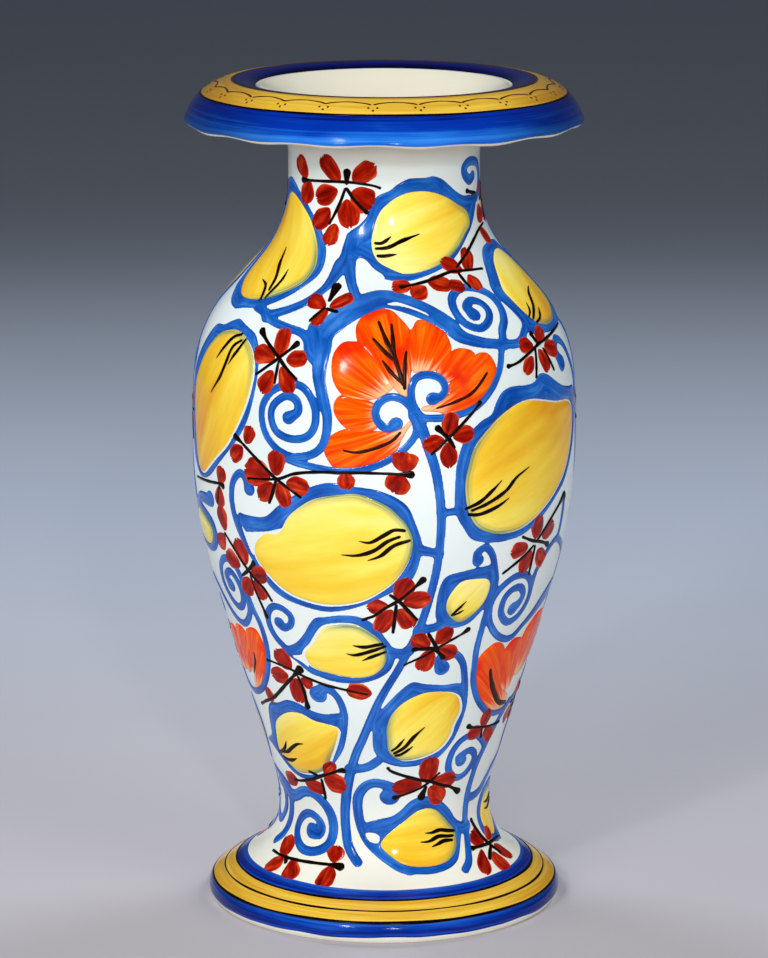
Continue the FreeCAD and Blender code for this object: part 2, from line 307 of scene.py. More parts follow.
# ---------------------------------------------------------------- coats of glaze over the unrolled wall
class Chart:
    """The wall unrolled on a grid: columns are turns, rows are arc lengths, repeating after REPEAT degrees.

    A window is a part of the grid: its first row, the row after its last, and its columns, not yet wrapped.
    """

    REPEAT = 180.0

    def __init__(self, step):
        self.columns = int(round(math.radians(self.REPEAT) * BELLY_RADIUS / step))
        self.turn_step = self.REPEAT / self.columns
        self.turns = np.arange(self.columns) * self.turn_step
        self.rows = int(BODY.length[-1] / step)
        self.s = np.linspace(0, BODY.length[-1], self.rows)
        self.s_step = self.s[1] - self.s[0]
        self.scale = np.radians(1) * BODY.radius(self.s)

    def blank(self, value):
        return np.full((self.rows, self.columns), float(value))

    def window(self, line, margin):
        """The window round a line of (turn, arc length) points."""
        low = max(0, int((line[:, 1].min() - margin) / self.s_step))
        high = min(self.rows, int((line[:, 1].max() + margin) / self.s_step) + 2)
        reach = margin / self.scale[low:high].min()
        left = int((line[:, 0].min() - reach) / self.turn_step) - 1
        right = int((line[:, 0].max() + reach) / self.turn_step) + 2
        return low, high, np.arange(left, right)

    def box(self, window):
        """Index of a window's points in a field of the whole chart."""
        low, high, columns = window
        return np.ix_(range(low, high), columns % self.columns)

    def offsets(self, window, turn, s):
        """Millimetres across and up from a place on the wall to each point of a window."""
        low, high, columns = window
        x = (columns * self.turn_step - turn)[None, :] * self.scale[low:high][:, None]
        return x, (self.s[low:high] - s)[:, None] + 0 * x

    def nearest(self, line, window):
        """Distance in mm from each grid point to a line, the nearest place along it, and on which side."""
        low, high, columns = window
        scale = self.scale[low:high][:, None]
        x, y = self.offsets(window, 0, 0)
        best = np.full(x.shape, 1e9)
        along = np.zeros(x.shape)
        side = np.zeros(x.shape)
        for k in range(len(line) - 1):
            ax, ay = line[k, 0] * scale, line[k, 1]
            dx, dy = line[k + 1, 0] * scale - ax, line[k + 1, 1] - ay
            t = np.clip(((x - ax) * dx + (y - ay) * dy) / (dx * dx + dy * dy + 1e-12), 0, 1)
            ex, ey = x - ax - t * dx, y - ay - t * dy
            d = np.hypot(ex, ey)
            closer = d < best
            best = np.where(closer, d, best)
            along = np.where(closer, k + t, along)
            side = np.where(closer, np.sign(dx * ey - dy * ex), side)
        return best, along, side

    def inside(self, line, window):
        """True where a grid point lies inside a closed line."""
        low, high, columns = window
        x = (columns * self.turn_step)[None, :]
        y = self.s[low:high][:, None]
        result = np.zeros((high - low, len(columns)), bool)
        for (x0, y0), (x1, y1) in zip(line[:-1], line[1:]):
            if y0 != y1:
                crosses = (y0 > y) != (y1 > y)
                result ^= crosses & (x < x0 + (y - y0) * (x1 - x0) / (y1 - y0))
        return result

    def read(self, field, turn, s):
        """A field's value at any turn and arc length."""
        c = (np.asarray(turn) / self.turn_step) % self.columns
        r = np.clip(np.asarray(s) / self.s_step, 0, self.rows - 1.001)
        c0, r0 = np.floor(c).astype(int), np.floor(r).astype(int)
        fc, fr = c - c0, r - r0
        c0, c1 = c0 % self.columns, (c0 + 1) % self.columns
        lower = field[r0, c0] * (1 - fc) + field[r0, c1] * fc
        return lower * (1 - fr) + (field[r0 + 1, c0] * (1 - fc) + field[r0 + 1, c1] * fc) * fr


CHART = Chart(step=0.6)
FAR_OUTSIDE = -9
LINE_STEP, OUTLINE_STEP = 1.2, 1.6
MARGIN = 4                 # of a window round a shape
STREAK_SHIFT = 40          # the streaks of a shape start this far along, times its tone, so no two are alike
DROP_FROM = 1.25           # a stroke that starts this many times as wide as midway starts in a drop
DROP_RADIUS = 0.52         # of such a drop, as a share of the stroke's width there


def outline_depth(points, grow):
    """How far inside a closed, smooth outline the grid points round it lie, and the place along it."""
    line = smooth_line(points, OUTLINE_STEP, closed=True)
    window = CHART.window(line, MARGIN)
    d, along, side = CHART.nearest(line, window)
    return window, np.where(CHART.inside(line, window), d, -d) + grow, along


def smooth_max(a, b, blend):
    return np.maximum(a, b) + np.maximum(blend - np.abs(a - b), 0) ** 2 / (4 * blend)


class Coat:
    """One colour on the wall: how far inside its edge each grid point is, and how the brush ran there."""

    def __init__(self, blend, spread=0.0):
        self.blend = blend
        self.spread = spread
        self.depth = CHART.blank(FAR_OUTSIDE)
        self.along, self.across, self.tone = CHART.blank(0), CHART.blank(0), CHART.blank(0)

    def merge(self, window, depth, along, across, tone):
        """Add a shape; where it lies deeper than what is there, its brush values take over."""
        box = CHART.box(window)
        old = self.depth[box]
        newer = depth > old
        self.depth[box] = smooth_max(old, np.maximum(depth, FAR_OUTSIDE), self.blend)
        self.along[box] = np.where(newer, along, self.along[box])
        self.across[box] = np.where(newer, across, self.across[box])
        self.tone[box] = np.where(newer, tone, self.tone[box])

    def stroke(self, points, width, tone=None):
        """A brush stroke with round ends; a third value in a point sets its width there."""
        line = smooth_line(points, LINE_STEP)
        widths = widths_along(points, width, len(line))
        window = CHART.window(line, MARGIN + widths.max() / 2)
        d, along, side = CHART.nearest(line, window)
        half = np.interp(along, np.arange(len(line)), widths) / 2
        tone = RNG.uniform(0, 1) if tone is None else tone
        run = along * LINE_STEP + STREAK_SHIFT * tone
        self.merge(window, half + self.spread - d, run, side * d / half, tone)
        if len(points[0]) > 2 and widths[0] > DROP_FROM * widths[len(widths) // 2]:
            self.drop(*points[0][:2], DROP_RADIUS * widths[0], tone)

    def drop(self, turn, height, radius, tone):
        """The round drop of glaze left where a curl begins."""
        self.stroke([(turn - 0.2, height), (turn + 0.2, height)], 2 * radius, tone)

    def patch(self, points, grow=0.0, tone=None):
        """A filled shape inside a closed, smooth outline."""
        window, depth, along = outline_depth(points, grow)
        tone = RNG.uniform(0, 1) if tone is None else tone
        self.merge(window, depth, along * OUTLINE_STEP + STREAK_SHIFT * tone, 1 - depth / 3, tone)
        return window, depth

    def cut(self, points, grow=0.0):
        """Leave a closed shape free of this coat."""
        window, depth = outline_depth(points, grow)[:2]
        box = CHART.box(window)
        self.depth[box] = np.minimum(self.depth[box], -depth)


def bead(depth, height, width):
    """Height of a coat that rises like a drop's edge over the given width."""
    t = np.clip(depth / width, 0, 1)
    return height * np.sqrt(np.maximum(1 - (1 - t) ** 2, 0)) - 0.05


def crown(depth, height, width):
    """Extra height in the middle of a thick coat, reached at the given depth."""
    return height * (1 - (1 - np.clip(depth / width, 0, 1)) ** 2)


# A coat's mesh has a corner at every grid point, then one on every step across, then one on every step up.
# Corner order of a grid cell: lower left, lower right, upper right, upper left; edges run between neighbours.
def cell_polygon(case):
    """The part of a cell on the coat's side, as corner numbers 0-3 and edge numbers 4-7."""
    polygon = []
    for k in range(4):
        if case >> k & 1:
            polygon.append(k)
        if (case >> k & 1) != (case >> ((k + 1) % 4) & 1):
            polygon.append(4 + k)
    return polygon


def stacked(grid, across, up):
    return np.concatenate([grid.ravel(), across.ravel(), up.ravel()])


def edge_crossings(depth):
    """Where the coat's edge crosses the steps of the grid, as shares of each step across and each step up."""
    steps = ((depth, np.roll(depth, -1, 1)), (depth[:-1], depth[1:]))
    return [np.clip(a / np.where(a == b, 1, a - b), 0.06, 0.94) for a, b in steps]


def blended(field, across, up):
    """A field at a coat's corners, blended between the two ends of a step."""
    return stacked(field, field * (1 - across) + np.roll(field, -1, 1) * across,
                   field[:-1] * (1 - up) + field[1:] * up)


def from_inside(field, inside):
    """A field at a coat's corners, taken on a step from its end inside the coat."""
    return stacked(field, np.where(inside, field, np.roll(field, -1, 1)),
                   np.where(inside[:-1], field[:-1], field[1:]))


def coat_faces(inside):
    """Faces of a coat, gathered by their number of corners, and whether each lies in the last column."""
    base = np.arange(inside.size).reshape(inside.shape)
    beside = np.roll(base, -1, 1)
    across, up = base + base.size, base[:-1] + 2 * base.size
    ids = [base[:-1], beside[:-1], beside[1:], base[1:], across[:-1], np.roll(up, -1, 1), across[1:], up]
    case = sum(inside.ravel()[ids[k]].astype(int) << k for k in range(4))
    last_column = np.broadcast_to(np.arange(inside.shape[1]) == inside.shape[1] - 1, case.shape)
    faces, at_seam = {}, {}
    for number in range(1, 16):
        cells = case == number
        polygon = cell_polygon(number)
        if cells.any():
            faces.setdefault(len(polygon), []).append(np.stack([ids[k][cells] for k in polygon], -1))
            at_seam.setdefault(len(polygon), []).append(last_column[cells])
    return [(np.vstack(faces[size]), np.concatenate(at_seam[size])[:, None]) for size in faces]


def laid_twice(faces, first_column, total):
    """Faces for both halves of the wall; at the end of a half a face takes its far corners from the next."""
    blocks = []
    for block, at_seam in faces:
        crossing = at_seam & first_column[block]
        blocks += [block + total * crossing, (block + total * (1 - crossing)) % (2 * total)]
    return blocks


def coat_piece(name, coat, lift, material, rows=None, extra=None):
    """The coat as a thin raised skin: the grid cells inside it, trimmed along its edge, on both halves."""
    low, high = rows or (0, CHART.rows)
    depth = coat.depth[low:high]
    inside = depth > 0
    across, up = edge_crossings(depth)
    turn = np.broadcast_to(CHART.turns[None, :], depth.shape)
    s = np.broadcast_to(CHART.s[low:high][:, None], depth.shape)
    turns = stacked(turn, turn + across * CHART.turn_step, turn[:-1])
    heights = stacked(s, s, s[:-1] + up * CHART.s_step)
    lifts = stacked(lift[low:high], np.full(across.shape, EDGE_DIP), np.full(up.shape, EDGE_DIP))
    fields = {"depth": blended(depth, across, up)}
    for key in ("along", "across", "tone"):
        fields[key] = from_inside(getattr(coat, key)[low:high], inside)
    for key, field in (extra or {}).items():
        fields[key] = blended(field[low:high], across, up)

    column = np.broadcast_to(np.arange(CHART.columns), depth.shape)
    blocks = laid_twice(coat_faces(inside), stacked(column, column, column[:-1]) == 0, len(turns))
    used = np.zeros(2 * len(turns), bool)
    for block in blocks:
        used[block.ravel()] = True
    renumber = np.cumsum(used) - 1
    pick = np.nonzero(used)[0]
    source = pick % len(turns)
    half = pick // len(turns)
    points = BODY.place(turns[source] + CHART.REPEAT * half, heights[source], lifts[source])
    fields = {key: values[source] for key, values in fields.items()}
    return make_piece(name, points, [renumber[block] for block in blocks], material, fields)


# ---------------------------------------------------------------- brush lines and petals laid on top
class Strokes:
    """Many small raised shapes gathered into one piece, each laid on both halves of the wall."""

    def __init__(self, path=BODY, ground=None, base=0.0):
        self.path = path
        self.ground = ground
        self.base = base
        self.points, self.quads, self.fields = [], [], {"along": [], "across": [], "tone": []}
        self.count = 0

    def add(self, turn, s, lift, along, across):
        """A grid of points off the ground, with its brush values and a tone of its own."""
        tone = RNG.uniform(0, 1)
        rows, columns = turn.shape
        i, j = np.meshgrid(np.arange(rows - 1), np.arange(columns - 1), indexing="ij")
        for shift in (0.0, Chart.REPEAT):
            base = self.base if self.ground is None else CHART.read(self.ground, turn + shift, s)
            self.points.append(self.path.place(turn + shift, s, base + lift).reshape(-1, 3))
            k = self.count + i * columns + j
            self.quads.append(np.stack([k, k + 1, k + 1 + columns, k + columns], -1).reshape(-1, 4))
            self.count += rows * columns
            for key, value in (("along", along), ("across", across), ("tone", tone)):
                self.fields[key].append((value + 0 * turn).ravel())

    def line(self, points, width, taper=(1.0, 1.0), blobs=(0, 0), height=0.28, heights=True, step=0.7):
        """A raised brush line. Its ends may swell to blobs of a given radius."""
        centre = smooth_line(points, step, self.path, heights=heights)
        scale = np.radians(1) * self.path.radius(centre[:, 1])
        y = centre[:, 1]
        run = np.r_[0, np.cumsum(np.hypot(np.diff(centre[:, 0]) * scale[:-1], np.diff(y)))]
        w = width * np.interp(np.linspace(0, 1, len(centre)), [0, 0.35, 0.65, 1], [taper[0], 1, 1, taper[1]])
        w = self.swollen(w * (1 + 0.06 * np.sin(run * 0.7 + 3 * centre[0, 0])), run, blobs)
        tx, ty = np.gradient(centre[:, 0]) * scale, np.gradient(y)
        norm = np.hypot(tx, ty) + 1e-9
        v = np.array([-1.0, -0.72, 0.0, 0.72, 1.0])
        offset = v[None, :] * (w / 2)[:, None]
        turn = centre[:, 0][:, None] + offset * (-ty / norm)[:, None] / scale[:, None]
        s = y[:, None] + offset * (tx / norm)[:, None]
        peak = height * np.clip(w / 1.2, 0.35, 1.15)
        lift = peak[:, None] * np.array([-0.1, 0.75, 1.0, 0.75, -0.1])[None, :]
        self.add(turn, s, lift, run[:, None], v[None, :])

    @staticmethod
    def swollen(w, run, blobs):
        """Widths along a line with a blob at each end that has one, and both ends rounded off."""
        from_ends = (run, run[-1] - run)
        for radius, reach in zip(blobs, from_ends):
            if radius:
                w = np.maximum(w, 2 * radius * np.clip(1 - (reach - radius) / (4.5 * radius), 0, 1))
        for reach in from_ends:
            cap = np.clip(reach / np.maximum(w / 2, 0.2), 0, 1)
            w = w * np.sqrt(np.maximum(1 - (1 - cap) ** 2, 0.0016))
        return w

    def petal(self, root, tip, width, height=0.3):
        """A dab of the brush between two (turn, arc length) places, blunt and a little ragged at its tip."""
        root, tip = np.array(root, float), np.array(tip, float)
        scale = math.radians(1) * float(self.path.radius((root[1] + tip[1]) / 2))
        d = (tip - root) * (scale, 1)
        length = math.hypot(*d)
        d /= length
        widest = 0.58
        u = ((1 - np.cos(np.linspace(0, np.pi, 19))) / 2)[:, None]
        v = np.linspace(-1, 1, 13)[None, :]
        rise = np.power(np.sin(np.pi / 2 * np.minimum(u / widest, 1)), 0.6)
        fall = np.power(np.maximum(1 - np.power(np.maximum(u - widest, 0) / (1 - widest), 2.6), 0), 1 / 2.2)
        half = width / 2 * np.maximum(rise * fall, 0.02) * (1 + 0.06 * np.sin(8 * u + 7 * root[0]))
        reach = (u + 0.045 * np.sin(6.5 * v + 5 * root[1]) * u ** 5) * length
        over = v * half
        px, py = reach * d[0] - over * d[1], reach * d[1] + over * d[0]
        edge = np.minimum(1 - np.abs(v), np.minimum(u, 1 - u) * 2.5)
        lift = height * np.sqrt(np.clip(edge / 0.35, 0, 1)) - 0.06
        self.add(root[0] + px / scale, root[1] + py, lift, u, v)

    def build(self, name, material):
        fields = {key: np.concatenate(value) for key, value in self.fields.items()}
        return make_piece(name, np.vstack(self.points), [np.vstack(self.quads)], material, fields)


# ---------------------------------------------------------------- the painted bands of foot and rim
def waver(turn, seed, size):
    """Slow drift of a hand-held brush on the banding wheel, the same after a full turn."""
    a = np.radians(turn)
    return size * (0.6 * np.sin(a + seed) + 0.35 * np.sin(2 * a + 2.3 * seed)
                   + 0.2 * np.sin(5 * a + seed * 3.1) + 0.1 * np.sin(11 * a + seed))


def band(name, path, start, end, material, slot_name, seed, height=0.3, sway=0.35, ruffle=0.0, columns=540):
    """A ring of glaze between two arc lengths, with wavering edges; ruffle roughens its first edge."""
    turn = full_turn(columns)
    a = np.radians(turn)
    first = start + waver(turn, seed, sway)
    first += ruffle * (np.sin(9 * a + 1) + 0.7 * np.sin(14 * a + 2) + 0.5 * np.sin(23 * a)) / 2
    last = end + waver(turn, seed + 1.7, sway)
    rows = max(7, int(abs(end - start) / 0.9) + 5)
    share = np.r_[0.0, np.linspace(0, 1, rows - 2) * 0.96 + 0.02, 1.0][:, None]
    s = first[None, :] + share * (last - first)[None, :]
    edge = np.minimum(s - first[None, :], last[None, :] - s)
    points = path.place(turn[None, :] + 0 * s, s, bead(edge, height, min(1.0, abs(end - start) / 2)))
    if path is CREST:
        points[..., 2] += lobe_shift(turn[None, :], lip_share(points[..., 2] / MM)) * MM
    fields = {"east": np.sin(a)[None, :] + 0 * s, "north": np.cos(a)[None, :] + 0 * s,
              "across": share + 0 * s, "depth": edge}
    return make_piece(name, points.reshape(-1, 3), [ring_faces(rows, columns)], material, fields)


def ring_line(name, path, s, width, material, lift, seed, sway=0.3, columns=540):
    """A thin line drawn round the foot or rim on the banding wheel."""
    turn = full_turn(columns)
    swell = 1 + 0.25 * np.sin(np.radians(turn) * 4 + seed) + 0.15 * np.sin(np.radians(turn) * 11)
    v = np.array([-1.0, -0.7, 0.0, 0.7, 1.0])[:, None]
    where = (s + waver(turn, seed, sway))[None, :] + v * width / 2 * swell[None, :]
    up = lift + 0.14 * np.array([-0.8, 0.7, 1.0, 0.7, -0.8])[:, None] + 0 * where
    points = path.place(turn[None, :] + 0 * where, where, up)
    fields = {"along": turn[None, :] * 1.5 + 0 * where, "across": v + 0 * where, "tone": 0 * where}
    faces = [ring_faces(len(v), columns)]
    return make_piece(name, points.reshape(-1, 3), faces, material, fields)




# ---------------------------------------------------------------- the pattern, as (turn, height[, width])
STEM = [(9, 256, 4.5), (11, 250), (13, 240), (15.4, 227), (17, 207, 3.6), (16.5, 185), (15, 170),
        (12.3, 153), (8.5, 140), (5, 130), (-1.5, 115, 3.2), (-8.8, 95), (-13, 85), (-18, 70),
        (-20.5, 60, 3.6), (-21.5, 50, 4.4), (-20, 40), (-17.3, 35), (-13, 30.5, 4)]

# Each vine stroke: points, then its usual width.
VINES = [
    (STEM, 3.4),
    # arch over the big flower and its left leg
    ([(-20.5, 289, 8), (-18.5, 294, 10), (-14, 299.5, 11), (-8, 303.5, 10.5), (0, 306, 9), (8, 304, 9),
     (16, 300, 8.5), (22, 295, 8), (26, 289.5, 5.5), (33, 286, 4.5), (41, 284, 4)], 6),
    ([(-22.5, 293, 9), (-20.4, 287, 9.5), (-20, 280, 6.8), (-19.7, 272, 5.2), (-18.5, 265, 4.8),
     (-16.7, 255, 4), (-17, 246, 3.6), (-18.5, 240), (-22, 236), (-29, 233.8, 3)], 4),
    ([(-22, 281, 5), (-24, 283.5, 4.4), (-25.5, 288, 3.6), (-28.5, 290.8, 3.4), (-34, 292.2, 3.4),
     (-40, 293.7, 3.6), (-45, 296, 5)], 4),
    # left spiral beside the flower, and the strokes under the flower
    ([(-29, 252.5, 4.6), (-25.9, 256, 3.6), (-26.5, 261, 3.2), (-30, 262.5), (-34, 258), (-35, 252),
     (-33, 245.5), (-28, 242.8), (-23, 244.5), (-20.5, 250), (-20.5, 258), (-23.5, 266), (-28, 268.3),
     (-34, 265), (-37.5, 259), (-38.5, 252), (-37, 244), (-33, 237.5), (-28, 234.2, 3)], 3.2),
    ([(-29, 233), (-25, 231.5), (-15, 229.5), (-9, 229.8), (-4, 231.5), (0, 234), (5, 239), (8.3, 244.5),
     (9.8, 249)], 2.8),
    ([(10, 255), (14, 254), (20, 254.3), (26, 256.5), (30, 260), (34, 266), (37.5, 274), (39.5, 281),
     (41, 284)], 2.8),
    # two small scrolls in the flower's heart
    ([(3.5, 252, 4.6), (1, 249.8, 3.2), (-1.5, 252.5), (-2.5, 257), (-1.5, 261.5), (1.5, 264.3), (5, 263.5),
     (7.8, 259.5), (8.8, 254), (9.8, 249, 3)], 3.0),
    ([(14.3, 263, 4.4), (17, 264, 3), (18.3, 267.5), (17, 272), (13, 274), (9.5, 272.5), (8, 268),
     (8.2, 262), (9.5, 257, 3)], 3.0),
    # neck: leaf mass at the left of the upper lemon and its two branches
    ([(-19.5, 332, 1.5), (-19.5, 327, 4.5), (-19, 322, 8), (-21, 318, 5), (-24, 311, 3.6), (-28, 306),
     (-32, 302.5), (-38, 299), (-45, 296, 4.5)], 3.5),
    ([(-17.5, 322, 7), (-15, 315, 5), (-12, 308.5, 4), (-9, 304, 4)], 4),
    ([(-52, 298.5), (-47, 297), (-45, 295)], 4),
    # right spiral under the upper lemon
    ([(33.5, 297.8, 5.4), (32, 301, 4), (35, 303.5, 3.3), (39, 302), (40.5, 298.5), (38.5, 294.5), (34, 292),
     (29, 294.5), (26.5, 300), (27.5, 305.5), (33, 308.8), (40, 308), (45.5, 304.5), (47, 299.5),
     (45.5, 294), (42.5, 289.5), (41.3, 284, 4)], 3.3),
    ([(41, 284, 4), (48, 283.5), (53, 288), (56, 292)], 3.4),
    # curl on the neck at the right
    ([(66, 356, 4.5), (62, 354.5), (57, 357), (55.5, 360.5), (60, 363), (67, 363), (74, 361), (78, 355),
     (76, 348), (72, 345, 3)], 3),
    # curl and drop left of the large middle lemon
    ([(-43.5, 216, 5.2), (-45, 221, 3.4), (-47.5, 222.5), (-50.5, 218), (-51.7, 211), (-51.3, 203),
     (-49.5, 195), (-46.5, 187), (-43, 180), (-38, 172), (-33, 166.5)], 3),
    ([(9, 192, 5), (12.5, 191, 4), (17, 189, 3)], 4),
    ([(-38.5, 150.5, 4.6), (-37, 148.3, 3), (-33.8, 150.5), (-33, 155), (-36, 158.5), (-40, 158.5),
     (-43, 154), (-43.5, 148), (-41.5, 142), (-37, 136.5)], 3),
    # spiral and strokes at the left edge
    ([(-61, 163.5, 5.4), (-62.5, 168, 3.4), (-59, 171), (-56, 168), (-54.5, 162), (-56, 155.5), (-60, 153),
     (-64.5, 157), (-67, 164), (-65.5, 172), (-61, 177), (-56, 176), (-53, 170), (-52, 160), (-53, 152),
     (-57, 146), (-61, 144.5), (-66, 147), (-71, 152), (-76, 158), (-82, 162)], 3),
    ([(-52, 165), (-50.5, 155), (-48.5, 147), (-48, 138), (-49, 130), (-51, 124), (-54, 118), (-59, 112),
     (-66, 108), (-73, 107), (-79, 110), (-84, 118)], 3),
    # right spiral and the broad leaf beyond it
    ([(49, 155, 5.4), (52, 157.5, 3.4), (53, 161.5), (50.5, 165.5), (46.5, 165.5), (43.4, 161.5),
     (43.5, 154), (48, 148.5), (53.5, 150.5), (57, 157), (56.5, 165), (52.5, 171), (46.5, 172), (41, 168),
     (37.8, 161), (38.5, 152), (42.5, 144.5), (48, 140), (53, 139.5, 3), (58, 143.5, 4.5), (64, 148, 7),
     (72, 154, 8.5), (80, 157, 8), (88, 156, 4)], 3),
    ([(57, 165), (58, 172), (62, 179), (66, 183), (70, 184), (76, 180), (82, 175), (88, 172)], 3),
    ([(70, 184), (71, 190), (71.3, 197), (71, 204)], 2.8),
    # stem and curls between the small lemon and the lower right flower
    ([(30, 184, 4.4), (29.5, 187.5, 3), (32.3, 190), (35, 186), (36.5, 180), (38, 172), (37.5, 164),
     (36.5, 156), (36, 148), (35.5, 138), (36, 130), (37, 121), (40, 113), (44, 107), (50, 101.5),
     (56, 99.5), (62, 99.5), (68, 102)], 2.8),
    ([(22, 130, 6), (20.5, 134.5, 3.6), (23, 137.5, 3), (27, 136.5), (30.5, 131), (32.5, 123), (34, 115),
     (34.5, 107), (33.5, 99), (31, 91), (26, 84.5), (19, 81.5), (10, 80.5), (4, 82), (0, 84)], 2.8),
    ([(-3, 82), (-7, 79), (-12, 77.5), (-17, 77)], 4),
    ([(17, 209), (22, 209.6)], 3),
    ([(11.5, 151), (16, 151.5), (20, 153)], 4),
    ([(2, 140), (6, 139), (9, 140.5)], 4.6),
    ([(-27, 115.5, 7.4), (-23.5, 119.2, 5), (-20, 117, 3), (-17.8, 112.7), (-16.6, 106), (-17.2, 100),
     (-18.2, 94.7), (-20, 88.7), (-22.7, 84), (-26.3, 79.3), (-29, 76)], 2.9),
    ([(-29, 103), (-24.5, 103), (-18, 104.7)], 3.4),
    # lower right spiral, stem and leaf
    ([(40, 78, 4.8), (38.2, 80, 3.2), (41, 82), (45, 82.5), (48.5, 79.5), (48.5, 75), (45, 70.5), (40, 69),
     (35, 71.5), (32.5, 77), (33.5, 84), (37, 89), (42, 91), (47, 90), (51, 87), (55, 83)], 3),
    ([(68, 102), (62, 95), (58, 88), (54.5, 80), (52, 72), (51, 62), (50.5, 52), (50, 42), (49.3, 36),
     (45, 28), (39.5, 24.5)], 3.4),
    ([(52, 56), (57, 56), (63, 57.5), (68, 62), (74, 68), (84, 72)], 4),
    ([(68, 102), (74, 104), (80, 108), (88, 116), (96, 118)], 3),
    # lower left spiral and its branches
    ([(-42, 41.5, 6.4), (-37.5, 40.8, 4), (-35.8, 44, 3.4), (-39, 48), (-45, 49.5), (-51, 46.5), (-54, 41),
     (-52, 36), (-46, 32.5), (-38, 32.5), (-31, 36), (-28.5, 42), (-29.5, 50), (-34, 56.5), (-41, 60.5),
     (-48, 60), (-54, 57, 5), (-60, 56, 7), (-63, 58, 7), (-68, 62), (-78, 66, 3)], 3.3),
    ([(-61, 56, 4), (-61.5, 48), (-63, 41), (-66, 35), (-70.5, 31, 4)], 3.6),
    ([(-84, 42), (-76, 40), (-71, 44), (-68, 50), (-69, 57), (-75, 60)], 3.6),
    # curl and left side of the lowest lemon
    ([(3, 63, 8), (5, 66.5, 4.4), (1, 69), (-5, 70), (-10, 67.5), (-13.5, 62), (-14, 54), (-12, 46),
     (-8, 40), (-2, 35), (5, 30.5), (12, 27)], 3.8),
    ([(42, 43), (47, 42), (51, 42)], 5),
    # right side of the shoulder
    ([(69.5, 269, 6.6), (67, 275, 4), (70, 280), (75, 277), (79, 268), (82, 260), (84, 250)], 3.2),
    ([(-65, 205, 6.4), (-67, 204), (-75, 203), (-82, 198)], 3),
    # the hidden sides: a second, slighter vine from the shoulder down to the foot
    ([(84, 287, 3), (88, 280), (90, 268), (89.5, 255), (88, 243), (87.5, 230), (89.5, 218), (92, 208),
     (95, 200, 4)], 3),
    ([(92, 262, 5), (94.6, 264, 3.4), (95.2, 269), (92.5, 273), (89.6, 270)], 2.8),
    ([(92, 180), (88, 172), (86, 160), (87, 148), (90, 136), (92, 124), (91, 112), (89, 103)], 3),
    ([(96, 146, 5), (94, 150, 3.4), (90.5, 148), (88, 142)], 2.8),
    ([(90, 68), (91, 62), (94, 56), (98, 52)], 3),
    ([(82, 30, 4), (87, 33), (92, 38), (94, 44)], 3),
]

